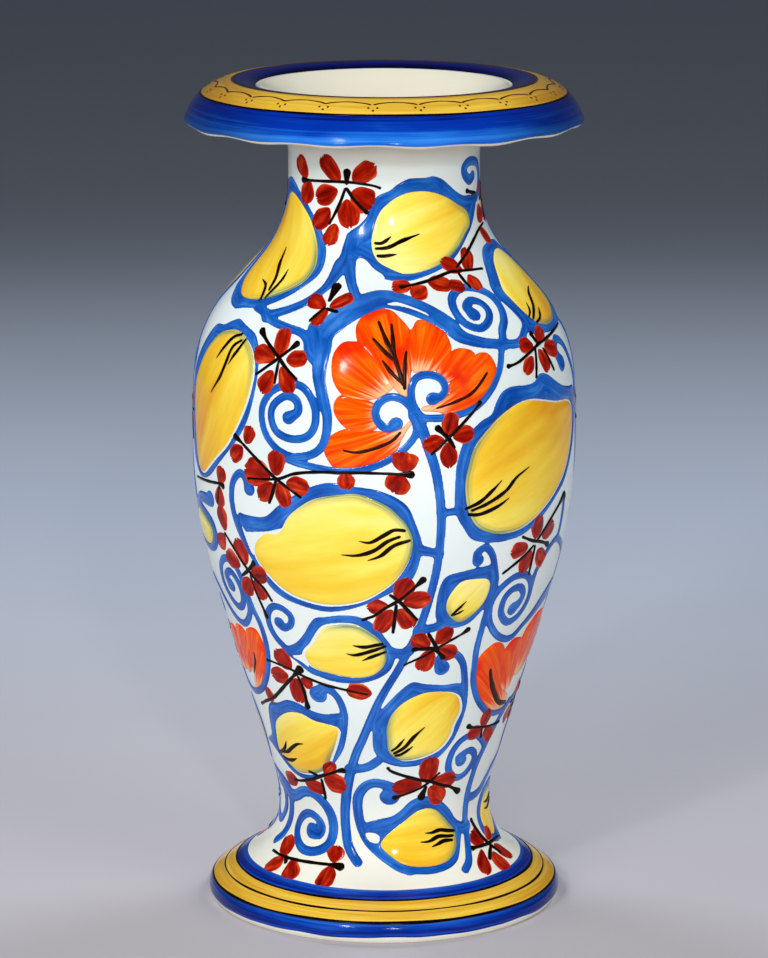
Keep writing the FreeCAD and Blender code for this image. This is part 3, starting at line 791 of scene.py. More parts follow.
# Each lemon: outline of the fruit, outline of its blue leaf-halo, tilt of its shading in degrees.
LEMONS = {
    "neck_right": (
        [(-7, 330), (-4, 341), (2, 347), (10, 351), (20, 352.5), (30, 351.5), (40, 348.5), (48, 345),
         (55, 342), (58, 339), (57, 334), (50, 330), (42, 325), (30, 319.7), (20, 317), (10, 315.8),
         (3, 318), (-4, 322)],
        [(-20, 333), (-15, 336.5), (-10, 341), (-8, 346), (-4, 350.5), (3, 353), (8, 356), (15, 358.5),
         (25, 358.5), (30, 359), (36, 357.5), (42, 354), (48, 350.5), (55, 348), (62, 347.5), (72, 346),
         (66, 339), (58, 333), (50, 328.5), (38, 321.5), (30, 318), (20, 315), (10, 313), (0, 314),
         (-5, 317.5), (-13, 321), (-20, 324)], 40),
    "neck_left": (
        [(-33.5, 318), (-36, 325), (-41, 332), (-47, 338), (-55, 343), (-63, 346.5), (-70, 348), (-77, 346),
         (-83, 338), (-84, 325), (-79, 309), (-73, 303.5), (-67, 300.8), (-60, 300.4), (-53, 301.4),
         (-47, 303.7), (-40, 307.5), (-35, 312)],
        [(-29.5, 319), (-31, 325), (-35, 331), (-40, 336), (-46, 340.5), (-53, 345.5), (-60, 349.5),
         (-67, 353.5), (-73, 355), (-82, 352), (-88, 338), (-88, 322), (-82, 305), (-78, 301), (-72, 297),
         (-65, 295.3), (-60, 296.5), (-52, 298), (-47, 300), (-40, 304.5), (-35, 309), (-30.5, 314)], 205),
    "shoulder_right": (
        [(54, 305.5), (57, 311), (61, 316), (66, 319), (72, 320.8), (80, 320), (87, 314), (89, 304),
         (86, 294), (80, 289.5), (75, 287.5), (70, 287), (65, 288), (62, 289.5), (59.5, 292), (57, 296),
         (55, 301)],
        [(48, 307), (50, 311), (53, 316), (56, 320), (60, 323), (66, 324.5), (72, 325), (82, 324), (91, 316),
         (93, 303), (89, 290), (82, 285.5), (75, 284.2), (65, 284.2), (55, 286.2), (53, 293), (51, 298),
         (49, 302)], -60),
    "left": (
        [(-60, 287), (-55, 287.5), (-50, 285), (-46, 281), (-43.5, 275), (-43, 268), (-44, 260),
         (-46.5, 251), (-50, 242), (-54, 234), (-60, 226.5), (-65, 220.5), (-69, 217), (-73, 218),
         (-75, 223), (-77, 232), (-79, 245), (-78.5, 257), (-75, 267), (-71, 277), (-66, 284)],
        [(-72, 286.5), (-66, 288), (-62, 290.5), (-58, 292.2), (-53, 290.5), (-48, 288.5), (-45.5, 286.5),
         (-43, 282), (-41.5, 276), (-41, 268), (-42, 258), (-44.5, 247), (-48.5, 238), (-53, 231),
         (-58, 224), (-63, 217.5), (-68, 214.3), (-74, 215), (-80, 225), (-82.5, 245), (-82, 262),
         (-77, 277)], 215),
    "middle": (
        [(-43.5, 186), (-42, 191), (-38, 195.5), (-33, 197), (-29, 206), (-24.5, 212), (-20, 216),
         (-13, 218.5), (-7, 219), (0, 214.5), (4, 209.5), (7, 204), (8.8, 197), (8.3, 190), (6.5, 183.3),
         (3.4, 176.7), (-1, 171.3), (-6.5, 166.7), (-13, 164.2), (-20, 163.5), (-28, 165.5), (-34, 169),
         (-39, 175), (-42.5, 181)],
        [(-49, 203), (-45, 203), (-38, 204), (-33, 210), (-28, 215.5), (-22, 221), (-16, 223.8),
         (-10, 222.7), (-4, 221.7), (0, 220), (4.3, 216.7), (7.4, 212), (9.2, 205.3), (10.5, 200),
         (11.5, 194), (11, 187), (10, 181), (8, 176), (2.5, 170.7), (-4, 165.7), (-10, 162.2),
         (-15.5, 160.2), (-21, 159.8), (-29, 161.8), (-35, 164.5), (-40, 170), (-46, 184), (-49.5, 195)],
         -110),
    "right": (
        [(24, 222), (25, 230), (27, 239), (31, 246), (36, 252), (42, 256), (48, 257), (55, 255), (62, 252.5),
         (70, 251), (75, 248), (77.5, 242), (76.5, 234), (73, 225), (68, 216), (62, 209), (55, 202.5),
         (48, 197.5), (42, 195.5), (35, 196), (29, 200), (26, 206), (24.5, 213)],
        [(21, 212), (21, 222), (21.5, 232), (24, 243), (29, 250.5), (33, 253.5), (34.5, 258), (37, 263),
         (41, 265), (47, 264.5), (51, 265), (54, 268), (58, 267), (63, 262.5), (68, 259), (74, 257),
         (80, 255), (82, 245), (80, 234), (77, 226), (70, 213), (64, 207), (58, 201), (52, 196), (46, 192.5),
         (38, 191.5), (32, 192.5), (27, 195), (24, 201), (22, 206)], 70),
    "small_right": (
        [(20.5, 165), (22, 170), (25, 174.5), (30, 175), (34.5, 174), (36, 170), (35, 163), (32, 157.5),
         (28, 153.5), (25, 153.5), (22, 157), (20.5, 161)],
        [(17, 165), (18, 174), (20, 178), (25, 179.5), (31, 180.5), (36.5, 180), (38, 170), (36.5, 161),
         (34, 157), (30, 152), (25, 150.5), (20, 151.7), (17.3, 156.7)], -110),
    "small_middle": (
        [(-30, 135), (-29, 138), (-26, 142), (-23.6, 146.7), (-21, 151), (-17.8, 153), (-12.4, 154),
         (-8.3, 153.3), (-3.8, 149.3), (-1, 146), (0.9, 140), (0.9, 135.3), (-1, 130.7), (-4.7, 127.3),
         (-9.7, 126), (-15, 126.3), (-20, 127.3), (-24.5, 128.3), (-28, 130.5)],
        [(-38, 138), (-33, 141.5), (-29, 146.7), (-26.3, 152), (-23.6, 156), (-20, 157), (-15.5, 158.3),
         (-11, 158.7), (-6.5, 157.3), (-2.5, 153.3), (0.2, 148), (2.5, 143.3), (4, 138), (3.4, 133.3),
         (1.6, 129.3), (-2, 126), (-7.4, 123.6), (-13.3, 122.8), (-20, 123.3), (-25.4, 125), (-29, 126.3),
         (-34, 131), (-38, 134.5)], -90),
    "lower_left": (
        [(-20, 97), (-21, 99), (-25, 100), (-32, 101), (-38, 103.5), (-44, 103), (-50, 100), (-56, 95),
         (-59, 88), (-60.5, 80), (-57, 75.5), (-52, 72), (-46, 70.5), (-38, 71.5), (-32, 73.5), (-28, 77),
         (-25, 83), (-22, 90)],
        [(-18, 105), (-26, 105), (-32, 106.5), (-38, 109), (-43, 109.5), (-47, 108), (-50, 106.5),
         (-56, 105), (-59, 102), (-61, 97), (-63, 90), (-65, 86), (-72, 82), (-66, 79), (-57, 72), (-52, 69),
         (-46, 67.5), (-40, 68), (-34, 70), (-28, 73.5), (-20, 90)], -60),
    "lower_right": (
        [(1, 95), (1, 100), (3, 107), (8, 113.5), (15, 117.5), (22, 117.5), (28, 116), (31.5, 112.5),
         (33, 106), (31, 99), (30, 93), (26, 87), (19, 83.5), (11, 82), (6, 83), (2, 87)],
        [(-5, 97), (-4.5, 103), (-2, 108), (2, 114), (7, 120.5), (11, 123.8), (16, 122.5), (24, 121),
         (31, 120.5), (35, 112), (35, 102), (32, 92), (26, 82.3), (20, 79.8), (13, 78.8), (6, 79.3),
         (0, 81.5), (-4, 86), (-5, 90)], 60),
    "lowest": (
        [(-2, 38), (0, 42), (5, 46), (11, 50), (17, 54), (23, 55.5), (29, 54), (34, 50), (38, 46), (41, 43),
         (42, 40), (41, 35), (37, 31), (30, 28.5), (20, 28), (10, 29.5), (3, 33.5)],
        [(-12, 47), (-10, 49), (-3, 51), (4, 52.5), (9, 55.5), (14, 60), (20, 62), (26, 61), (32, 58),
         (38, 53), (42, 48), (46, 44.5), (46, 40), (43, 34), (38, 28.5), (30, 25.8), (20, 25.2), (8, 26.7),
         (2, 30), (-5, 35), (-10, 39), (-12, 43)], -90),
    "lower_edge": (
        [(66, 44), (69, 52), (76, 56), (84, 55), (90, 48), (90, 40), (84, 34), (76, 32), (69, 36)],
        [(62, 44), (65, 54), (74, 60), (86, 59), (94, 49), (94, 39), (87, 30.5), (76, 28.5), (66, 33.5)],
        -80),
    "left_edge": (
        [(-66, 189), (-68.5, 193), (-74, 196), (-81, 196), (-86, 191), (-85, 185), (-79, 181), (-72, 180.5),
         (-68, 184)],
        [(-63, 188), (-65, 195), (-71, 199), (-80, 200.5), (-87, 197), (-90.5, 190), (-87, 181),
         (-80, 177.5), (-71, 177), (-65, 181)], -90),
    "side": (
        [(83, 84), (86, 92), (92, 97), (99, 95), (102, 87), (100, 78), (94, 72.5), (87, 74)],
        [(78.5, 84), (83, 95), (90, 101.5), (100, 100.5), (106, 90), (104, 77), (96, 68.5), (85, 70)], -70),
}
WHITE_WINDOWS = [
    [(-13.5, 321.5), (-9.5, 322), (-5, 318.3), (0, 315), (-1.5, 311), (-8, 309), (-11.5, 312)],
    [(1, 303.8), (6, 303.2), (11, 301.6), (16.5, 298.6), (15.5, 299.9), (10, 302.8), (5, 304.6)],
    [(-48, 197.3), (-46.5, 194.5), (-42, 195.4), (-37, 196.8), (-31, 199.6), (-31.5, 196.5), (-36, 194),
     (-40, 192.6), (-43, 188.5), (-44.3, 183.5), (-46, 188)],
    [(-35.5, 134), (-32, 135.2), (-28, 137.5), (-25, 139.2), (-26, 135), (-29, 132.5), (-29, 129.5),
     (-31.5, 131.5)],
    [(-10, 43.5), (-6, 44), (-2.5, 42.5), (-3, 39.5), (-7.5, 40)],
]

PETALS = {
    "big": [
        ([(6, 265), (0.7, 273), (-2, 279), (-5, 284), (-7.4, 287.3), (-8.7, 292), (-8.5, 296), (-6, 300),
         (-3, 301.5), (2, 301), (5, 298), (8, 293), (7.4, 287), (8.3, 280.7), (7.4, 274), (7, 266)],
         (6.5, 265), (0, 300)),
        ([(8.7, 277), (8.3, 290.7), (10, 293.3), (12, 296.5), (15, 296), (18.6, 294), (20.4, 290),
         (21.1, 285.3), (20.2, 280.7), (18.2, 278), (15, 276.3), (11.4, 276.5)], (10, 274), (15, 296)),
        ([(16.4, 275.7), (20.4, 281.3), (24, 283.7), (28, 282.5), (28.5, 280), (25, 276), (22.7, 272),
         (19, 271)], (16, 270), (28, 284)),
        ([(11.5, 258.7), (16.4, 260.7), (19, 267), (22, 271), (26, 276), (30, 280.5), (33.5, 280.5),
         (35.2, 277), (35.5, 272), (34, 268), (31, 263.5), (27, 260), (22.5, 256.8), (19.5, 255.5),
         (16, 257.7)], (12, 257), (34, 277)),
        ([(-10, 264), (-12.8, 267), (-15, 272.7), (-15.5, 280.7), (-14.6, 284.7), (-12.8, 287.3),
         (-10, 287.7), (-7.4, 287.3), (-5, 283.3), (-2, 278), (2.5, 270.7), (-0.2, 266), (-3.8, 264)],
         (2, 266), (-12, 286)),
        ([(-3.2, 260.7), (-11, 264), (-13.3, 263), (-14.2, 260), (-14, 256.7), (-12.4, 252.7), (-10, 249.7),
         (-7.4, 248), (-4.7, 248.7), (-2, 252)], (0, 257), (-15, 257)),
        ([(8.8, 254), (5, 248.7), (0, 247.7), (-5, 248), (-10, 248.7), (-13.7, 246.7), (-16.9, 242.7),
         (-17.3, 240), (-16, 235), (-13.5, 230.7), (-10, 230.7), (-3.8, 233.3), (2.5, 238.7), (4.5, 244.7),
         (7, 251.3)], (7, 251), (-16, 236)),
    ],
    "left": [
        ([(-60, 138), (-57, 142), (-53, 143), (-51, 140), (-50, 134), (-51, 127), (-54, 119), (-59, 113),
         (-66, 110.5), (-62, 120)], (-66, 111), (-54, 143)),
        ([(-69, 138), (-65, 141.5), (-61, 139.5), (-60, 133), (-62, 124), (-70, 118)], (-72, 118),
         (-65, 142)),
        ([(-80, 134), (-75, 139), (-70, 137), (-70, 128), (-73, 118), (-80, 120)], (-76, 116), (-76, 140)),
    ],
    "right": [
        ([(37, 127), (38, 132), (41, 136), (45, 138), (49, 135.5), (50.5, 131), (51, 122), (55, 113),
         (63, 106), (62, 102), (55, 101.5), (50, 103.5), (44, 108), (40, 113.5), (37.5, 122)], (62, 103),
         (43, 137)),
        ([(50.5, 131), (54, 136.5), (58, 137), (62, 134.5), (63, 125), (62, 112), (55, 113), (51, 122)],
         (61, 110), (56, 137)),
        ([(62, 136), (66, 143), (72, 146), (80, 144), (84, 132), (74, 120), (64, 118)], (66, 116),
         (74, 146)),
    ],
}

# Brown veins of the flowers: points and width.
VEINS = [
    ([(-2, 297), (1, 288), (3.4, 281), (5.8, 269)], 1.5), ([(2.5, 296), (3, 286), (3.5, 281)], 1.3),
    ([(-3.8, 290), (-0.2, 284.7), (3.4, 280)], 1.3), ([(-0.7, 280.7), (2.5, 274.7), (5.8, 270)], 1.2),
    ([(7, 284.7), (6.3, 278.7), (6, 267.3)], 1.3), ([(15, 258.5), (22, 261.5), (27, 265), (32.5, 273)], 1.0),
    ([(-12, 239.5), (-8, 238.7), (-3, 240.5), (2, 244), (5, 248.5)], 1.1),
    ([(-57, 131), (-58, 126), (-61, 121), (-64, 118)], 1.2),
    ([(44, 126), (46, 120), (49, 114), (54, 107), (58, 104.5), (63, 103.5)], 2.0),
]

# Three slanting black dashes near the tip of each lemon.
ACCENTS = [
    [(-5.5, 329), (-1, 329), (4, 332)], [(-5, 326.5), (2, 327), (10, 330), (20, 332.7)],
    [(-4, 323.5), (0, 323.3), (6.5, 324)],
    [(-51, 305), (-52, 311), (-56, 317), (-58.5, 323.5)], [(-53, 300.5), (-53, 303), (-55, 307), (-60, 309)],
    [(-51, 302), (-50, 304), (-47.5, 310), (-47.5, 315)],
    [(58, 292), (61, 295), (62, 298.5)], [(60, 291), (65, 296), (69, 301), (74, 303.5)],
    [(61, 289.5), (65, 291), (68.5, 295)],
    [(-52, 286.5), (-56, 284), (-59, 279), (-62, 273)],
    [(-51, 284), (-54.5, 280), (-56, 272), (-58, 265), (-62.5, 257)],
    [(-49.5, 285), (-51, 280.5), (-53, 276), (-54.5, 272)],
    [(6.5, 201.5), (3, 202), (0, 199.5), (-4, 196), (-7.5, 196.5)],
    [(5, 199), (1, 196.5), (-3, 192), (-8, 189.5), (-13, 189.5)],
    [(8, 197), (3, 194.5), (-1, 189.5), (-5, 187)],
    [(24, 210), (29, 213), (33, 217.5), (36.5, 222)],
    [(26, 209), (32, 212), (38, 216.5), (42, 222), (47.5, 226)],
    [(25, 207.5), (29, 207), (35, 209.5), (39.5, 213)],
    [(22.5, 157.5), (25, 161), (27.5, 164.5)], [(22.5, 157.3), (25, 158.5), (27, 160)],
    [(0, 144.5), (-3, 143.8), (-7, 142.8), (-11, 143.5)],
    [(1, 143.5), (-4, 141), (-10, 138.5), (-13.5, 139)],
    [(1, 140.5), (-4, 138), (-8, 135.5)],
    [(-61, 78), (-57, 79.5), (-53, 82.5), (-50.5, 86.5)],
    [(-58, 79), (-52, 80.5), (-47, 84), (-43, 86.5), (-39, 87.5)],
    [(-58, 77), (-54, 76), (-50, 76.5), (-45.5, 78.5)],
    [(3, 87.5), (6, 90), (9, 94.5)], [(4, 86), (9, 89.5), (13, 95), (17.5, 100)],
    [(4.5, 85), (8, 86), (13, 90)],
    [(41.5, 41.5), (36, 42.5), (31, 43.5), (26, 42.8), (22, 43)],
    [(40, 39.5), (36, 39.8), (30, 40.5), (24, 38.8), (19, 39)],
    [(39, 37.5), (33, 38), (29, 37), (25, 36)],
    [(88, 50), (82, 50.5), (76, 49), (70, 49.5)], [(89, 47.5), (82, 47), (76, 45.5), (71, 46)],
]

# Each blossom: its heart, then (turn, height, length, width) of the middle of every petal.
BLOSSOMS = [
    ((-24, 354), [(-33, 362, 11, 6.5), (-36, 350, 10, 7), (-38, 339, 9, 7), (-30, 332, 8, 6),
     (-12, 361, 10, 7), (-13, 349, 9, 9), (-21, 342, 10, 8)]),
    ((-50, 355), [(-57, 361, 9, 6.5), (-52, 350, 9, 7)]),
    ((-21.5, 301.5), [(-26, 303.5, 8, 5.5), (-16.5, 304.5, 9, 5), (-23, 298, 8, 4.5)]),
    ((20, 312.5), [(7.5, 311, 7, 5.5), (14.5, 308.5, 7, 6), (24, 311.5, 9, 6.5), (31, 310, 7, 5.5)]),
    ((40, 314.5), [(33.5, 318, 9, 6), (44, 319.5, 10, 5.5), (41, 310.5, 7, 5.5)]),
    ((66, 333), [(73, 337, 8, 5.5), (70, 328, 8, 5.5)]),
    ((-34, 278), [(-34.5, 286, 10, 6.5), (-40, 279.5, 10, 6.5), (-28, 279.5, 8, 6), (-37.3, 268, 9, 6.5),
     (-30.5, 270, 10, 6)]),
    ((18.5, 244), [(14.6, 242.3, 8, 6), (19.5, 250.8, 8, 6), (23.6, 245.5, 8, 6), (19, 236.5, 9, 6)]),
    ((-33, 223), [(-40, 224.5, 12, 10), (-33, 230.5, 9, 7), (-26, 221, 9, 6.5), (-37, 216.5, 9, 6.5),
     (-31, 216, 9, 6)]),
    ((-45, 236.5), [(-43.5, 241.5, 7, 5.5), (-48.5, 232, 8, 6)]),
    ((5.5, 229), [(6, 234, 7, 9), (4, 224, 7, 9)]),
    ((-11, 229), [(-11, 225.2, 6, 6)]),
    ((56, 280.5), [(51, 281.5, 8, 6), (60, 284.5, 7, 6), (64, 277.5, 9, 6.5), (58, 273.5, 9, 5.5),
     (50, 273, 8, 5)]),
    ((53.5, 186), [(46.5, 185.5, 9, 6), (54, 194.5, 9, 7), (61, 191, 9, 6.5), (50.5, 178.5, 9, 6.5),
     (58.5, 178.5, 9, 6.5)]),
    ((-47.5, 174), [(-50, 183.5, 10, 7.5), (-55.5, 178, 9, 7), (-43.5, 174, 8, 6.5), (-50, 166.5, 8, 6.5),
     (-44.5, 166, 8, 6)]),
    ((-57, 191), [(-58, 197.5, 9, 6.5), (-60.5, 186, 8, 6)]),
    ((-58, 213.5), [(-57, 218.5, 7, 6), (-58.5, 208, 8, 6.5)]),
    ((3.5, 164.5), [(6, 172, 10, 7), (10.5, 166.5, 10, 6.5), (-2, 163.5, 7.5, 5.5), (0.3, 156.5, 10, 6.5),
     (7, 157.5, 9, 6.5)]),
    ((17.5, 141.3), [(13, 145, 8, 6), (21, 147, 8, 6), (15.5, 135, 9, 6.5), (23, 138.5, 8, 6)]),
    ((-36, 124), [(-40.5, 131, 9, 7.5), (-44.5, 122, 9, 6.5), (-36.5, 116, 10, 7), (-31.5, 121, 5, 4.5)]),
    ((-55, 112), [(-55, 109.3, 6, 5)]),
    ((-3, 117.5), [(-9.5, 118.8, 9, 6.5)]),
    ((-48, 66), [(-56, 65, 8, 6), (-38.5, 64.8, 9, 5.5)]),
    ((-33, 70.5), [(-25.5, 68.5, 9, 8), (-27.5, 76, 7, 4.5)]),
    ((21.5, 69), [(22, 76, 11, 7.5), (11.8, 68, 11, 6.5), (31.5, 69, 10, 6.5), (28, 62.5, 9, 6.5)]),
    ((50, 93), [(50, 98, 8, 5.5), (45, 92, 8, 5.5), (55, 89, 8, 5.5)]),
    # blossoms of the hidden sides
    ((92.5, 241), [(89.5, 246, 9, 6), (96, 246, 9, 6), (96.5, 238, 8, 6), (91.5, 234, 8, 6)]),
    ((93, 130), [(96.5, 134, 8, 6), (97, 126.5, 8, 6), (90, 123.5, 8, 5.5), (88.6, 133, 8, 5.5)]),
    ((77, 100), [(77.5, 106, 8, 5.5), (72, 95, 8, 5.5), (80, 93.5, 7, 5.5)]),
    ((88, 343), [(82, 348, 8, 6), (92, 348, 8, 6), (84, 337.5, 8, 6)]),
]
# The row of blossoms on the foot: root and tip of each petal, as (turn, arc length up the foot), and width.
FOOT_PETALS = [
    ((-54, 42), (-61, 50.5), 9), ((-55, 41), (-59.5, 30), 8.5), ((-49, 41.5), (-42, 29.8), 8),
    ((-25.5, 44), (-25, 52.5), 7.5),
    ((-26, 42.5), (-26.5, 29.5), 8.3), ((61, 46), (53.5, 54), 8.5), ((57, 44.5), (48, 31.8), 6.5),
    ((64.5, 41), (61, 28), 9),
    ((69, 43.5), (75, 33), 7.5), ((66, 47), (72, 52), 6),
]
FOOT_TWIGS = [
    ([(-67, 41), (-57, 40.8), (-45, 41.5), (-35, 42.3), (-25, 42.8), (-19, 42)], 1.3, (0.8, 2.2)),
    ([(-54, 42), (-51, 37.5)], 1.8, (0, 1.2)),
    ([(55, 61), (58, 56), (61.5, 50.5), (65, 45.5), (68, 41), (69.5, 37.5)], 1.8, (1.2, 1.3)),
    ([(49, 46.8), (56, 46.2), (64, 45.5), (75, 45), (82, 44)], 1.3, (1.4, 0)),
    ([(66, 44), (61, 41), (57, 38)], 1.7, (0, 1.2)),
]
# Black twigs through the blossoms: points, width, radius of the blob at each end.
TWIGS = [
    ([(-22, 363), (-22.3, 359), (-22.5, 355)], 1.6, (2.1, 0)),
    ([(-58, 355), (-45, 355.7), (-22, 356.5), (-8, 355.5), (-1.5, 354)], 1.3, (1.8, 0.8)),
    ([(-23, 354), (-17, 348), (-9, 342)], 1.8, (0, 1.3)),
    ([(-23, 354), (-27, 346), (-33, 336)], 1.5, (0, 0.9)),
    ([(-19.5, 312), (-20.6, 308), (-21.5, 304)], 1.8, (2.6, 0)),
    ([(-22, 301.5), (-16.5, 300)], 1.4, (0, 0.8)),
    ([(-22, 302), (-26.8, 295.5)], 1.4, (0, 0.9)),
    ([(6, 310.5), (12, 311.5), (20, 313), (30, 315.5), (36, 315.7), (51, 315.2)], 1.6, (1.5, 0.8)),
    ([(35, 317), (45, 322), (55, 327), (65, 331), (75, 333)], 1.4, (0, 0)),
    ([(35, 315.5), (37.5, 308)], 1.3, (0, 0.9)),
    ([(57, 350), (66, 348), (71, 347.5)], 1.4, (1.4, 0)),
    ([(-45, 290.5), (-41, 286), (-35, 280), (-31, 275), (-26.5, 270)], 1.7, (2.0, 0.8)),
    ([(-28, 287), (-31, 283), (-35, 278), (-42, 270)], 1.5, (1.8, 0.7)),
    ([(-34, 278), (-34.3, 267)], 1.2, (0, 0.7)),
    ([(15, 250.5), (19, 244), (21, 239)], 1.5, (1.8, 0.9)),
    ([(13.5, 237), (19, 244.5), (23, 250), (27, 256), (29.5, 260.5)], 1.5, (0.8, 1.3)),
    ([(-50, 240.5), (-45, 236), (-38, 228.5), (-33, 223), (-24.5, 215.5)], 1.6, (1.9, 1.0)),
    ([(-44, 221), (-33, 223), (-27, 226.5), (-20, 228.3), (-10, 229), (0, 228.8), (9, 228)], 1.4,
     (0.9, 2.0)),
    ([(-33, 223), (-34.5, 216), (-36, 210.5)], 1.4, (0, 1.0)),
    ([(40, 274), (45, 275), (52, 278.5), (58, 281), (63, 282), (70, 283.5), (80, 285)], 1.5, (1.3, 0.8)),
    ([(55, 287), (57, 281)], 1.5, (1.5, 0)), ([(55, 280), (52, 266)], 1.2, (0, 0.8)),
    ([(59, 279), (63, 267)], 1.2, (0, 0.8)),
    ([(46.5, 192), (52, 188.5), (58, 186), (63, 183)], 1.5, (0.9, 1.7)),
    ([(40, 175), (48, 181), (53.5, 186)], 1.2, (0.7, 0)),
    ([(54, 187), (62, 197), (68, 203), (71.5, 206)], 1.7, (0, 2.6)),
    ([(54, 186), (53.3, 171)], 1.2, (0, 0.8)),
    ([(-44, 180.5), (-48, 175), (-52, 171)], 1.4, (1.6, 0.8)),
    ([(-58, 191), (-54, 185), (-50, 178), (-46, 172), (-42, 167), (-39.5, 161)], 1.6, (0.9, 0.9)),
    ([(-47.5, 173), (-46, 163), (-43.5, 151.5)], 1.4, (0, 1.7)),
    ([(-77, 212), (-65, 213.5), (-58, 214.5), (-55, 213.5)], 1.4, (0.8, 1.8)),
    ([(-58, 214), (-60, 204)], 1.2, (0, 0.8)),
    ([(13, 178), (9.5, 173), (5, 167), (0, 162.5), (-3, 159), (-7.5, 156.5)], 1.6, (1.9, 0.9)),
    ([(1.5, 170), (5, 166), (8, 161), (11.3, 156)], 1.4, (0.8, 0.9)),
    ([(4, 165), (3.5, 157), (3, 149.5)], 1.3, (0, 0.9)),
    ([(9.5, 141), (14, 141), (18, 140.5), (22.5, 135)], 1.5, (1.5, 1.6)),
    ([(15, 149.5), (18, 143), (20, 138.5)], 1.4, (0.9, 0.7)),
    ([(7, 133), (14, 137), (18, 140), (22, 143), (28, 147), (31, 149.7)], 1.3, (0.8, 1.6)),
    ([(-32, 129), (-36, 124.5), (-42, 118), (-48, 112), (-53, 108), (-60, 104.5), (-66, 101.5)], 1.7,
     (2.4, 1.1)),
    ([(-50, 129), (-39, 127), (-33, 124.5), (-26, 122), (-18, 120), (-6, 117.5)], 1.3, (0.9, 0.8)),
    ([(-35, 124), (-33.3, 115), (-33, 106.5)], 1.4, (0, 1.8)),
    ([(-54, 65), (-47, 66), (-40, 68), (-33, 71), (-27, 73.5), (-22, 75.5), (-18.5, 76)], 1.6, (1.2, 1.7)),
    ([(-33, 70), (-32.5, 58.5)], 1.3, (0, 0.9)), ([(-40, 73), (-33, 70.5)], 1.2, (0.8, 0)),
    ([(1.5, 79), (2.8, 77), (6, 75.3), (12, 73), (18, 71), (24, 69.5), (30, 67), (36, 65), (44, 60.5)], 1.7,
     (1.0, 1.9)),
    ([(4, 62), (10, 63.5), (17, 66), (22, 68.5), (28.5, 74)], 1.4, (1.5, 0.8)),
    ([(22, 67.5), (19, 60)], 1.6, (0, 2.1)),
    ([(39, 97.5), (41, 95.5), (48, 94), (55, 93), (63, 93.5)], 1.4, (1.6, 1.1)),
    ([(49, 93.5), (49.5, 88)], 1.2, (0, 0.8)),
    ([(98, 228.5), (94.5, 236), (91, 243), (86.5, 250)], 1.5, (1.7, 0.8)),
    ([(87, 237), (93, 241), (99.5, 243.5)], 1.3, (0.8, 0.9)),
    ([(101, 137.5), (96, 132.5), (91, 128), (86.5, 122)], 1.5, (1.6, 0.8)),
    ([(93, 138), (93, 130), (94, 121)], 1.3, (0, 1.2)),
    ([(71, 101), (77, 100), (84, 97.5)], 1.4, (1.2, 0.8)),
    ([(76, 91), (77.5, 100), (79, 110)], 1.2, (0.8, 0)),
    ([(78, 344), (88, 343), (97, 340)], 1.4, (1.2, 0.8)),
    ([(88, 351), (88, 343), (80, 334)], 1.3, (1.4, 0.8)),
]


# ---------------------------------------------------------------- glazes
def colour(red, green, blue):
    """A display colour from 0 to 255 as the linear colour that the shader works in."""
    linear = [((c / 255 + 0.055) / 1.055) ** 2.4 if c > 10 else c / 3294.6 for c in (red, green, blue)]
    return (*linear, 1.0)


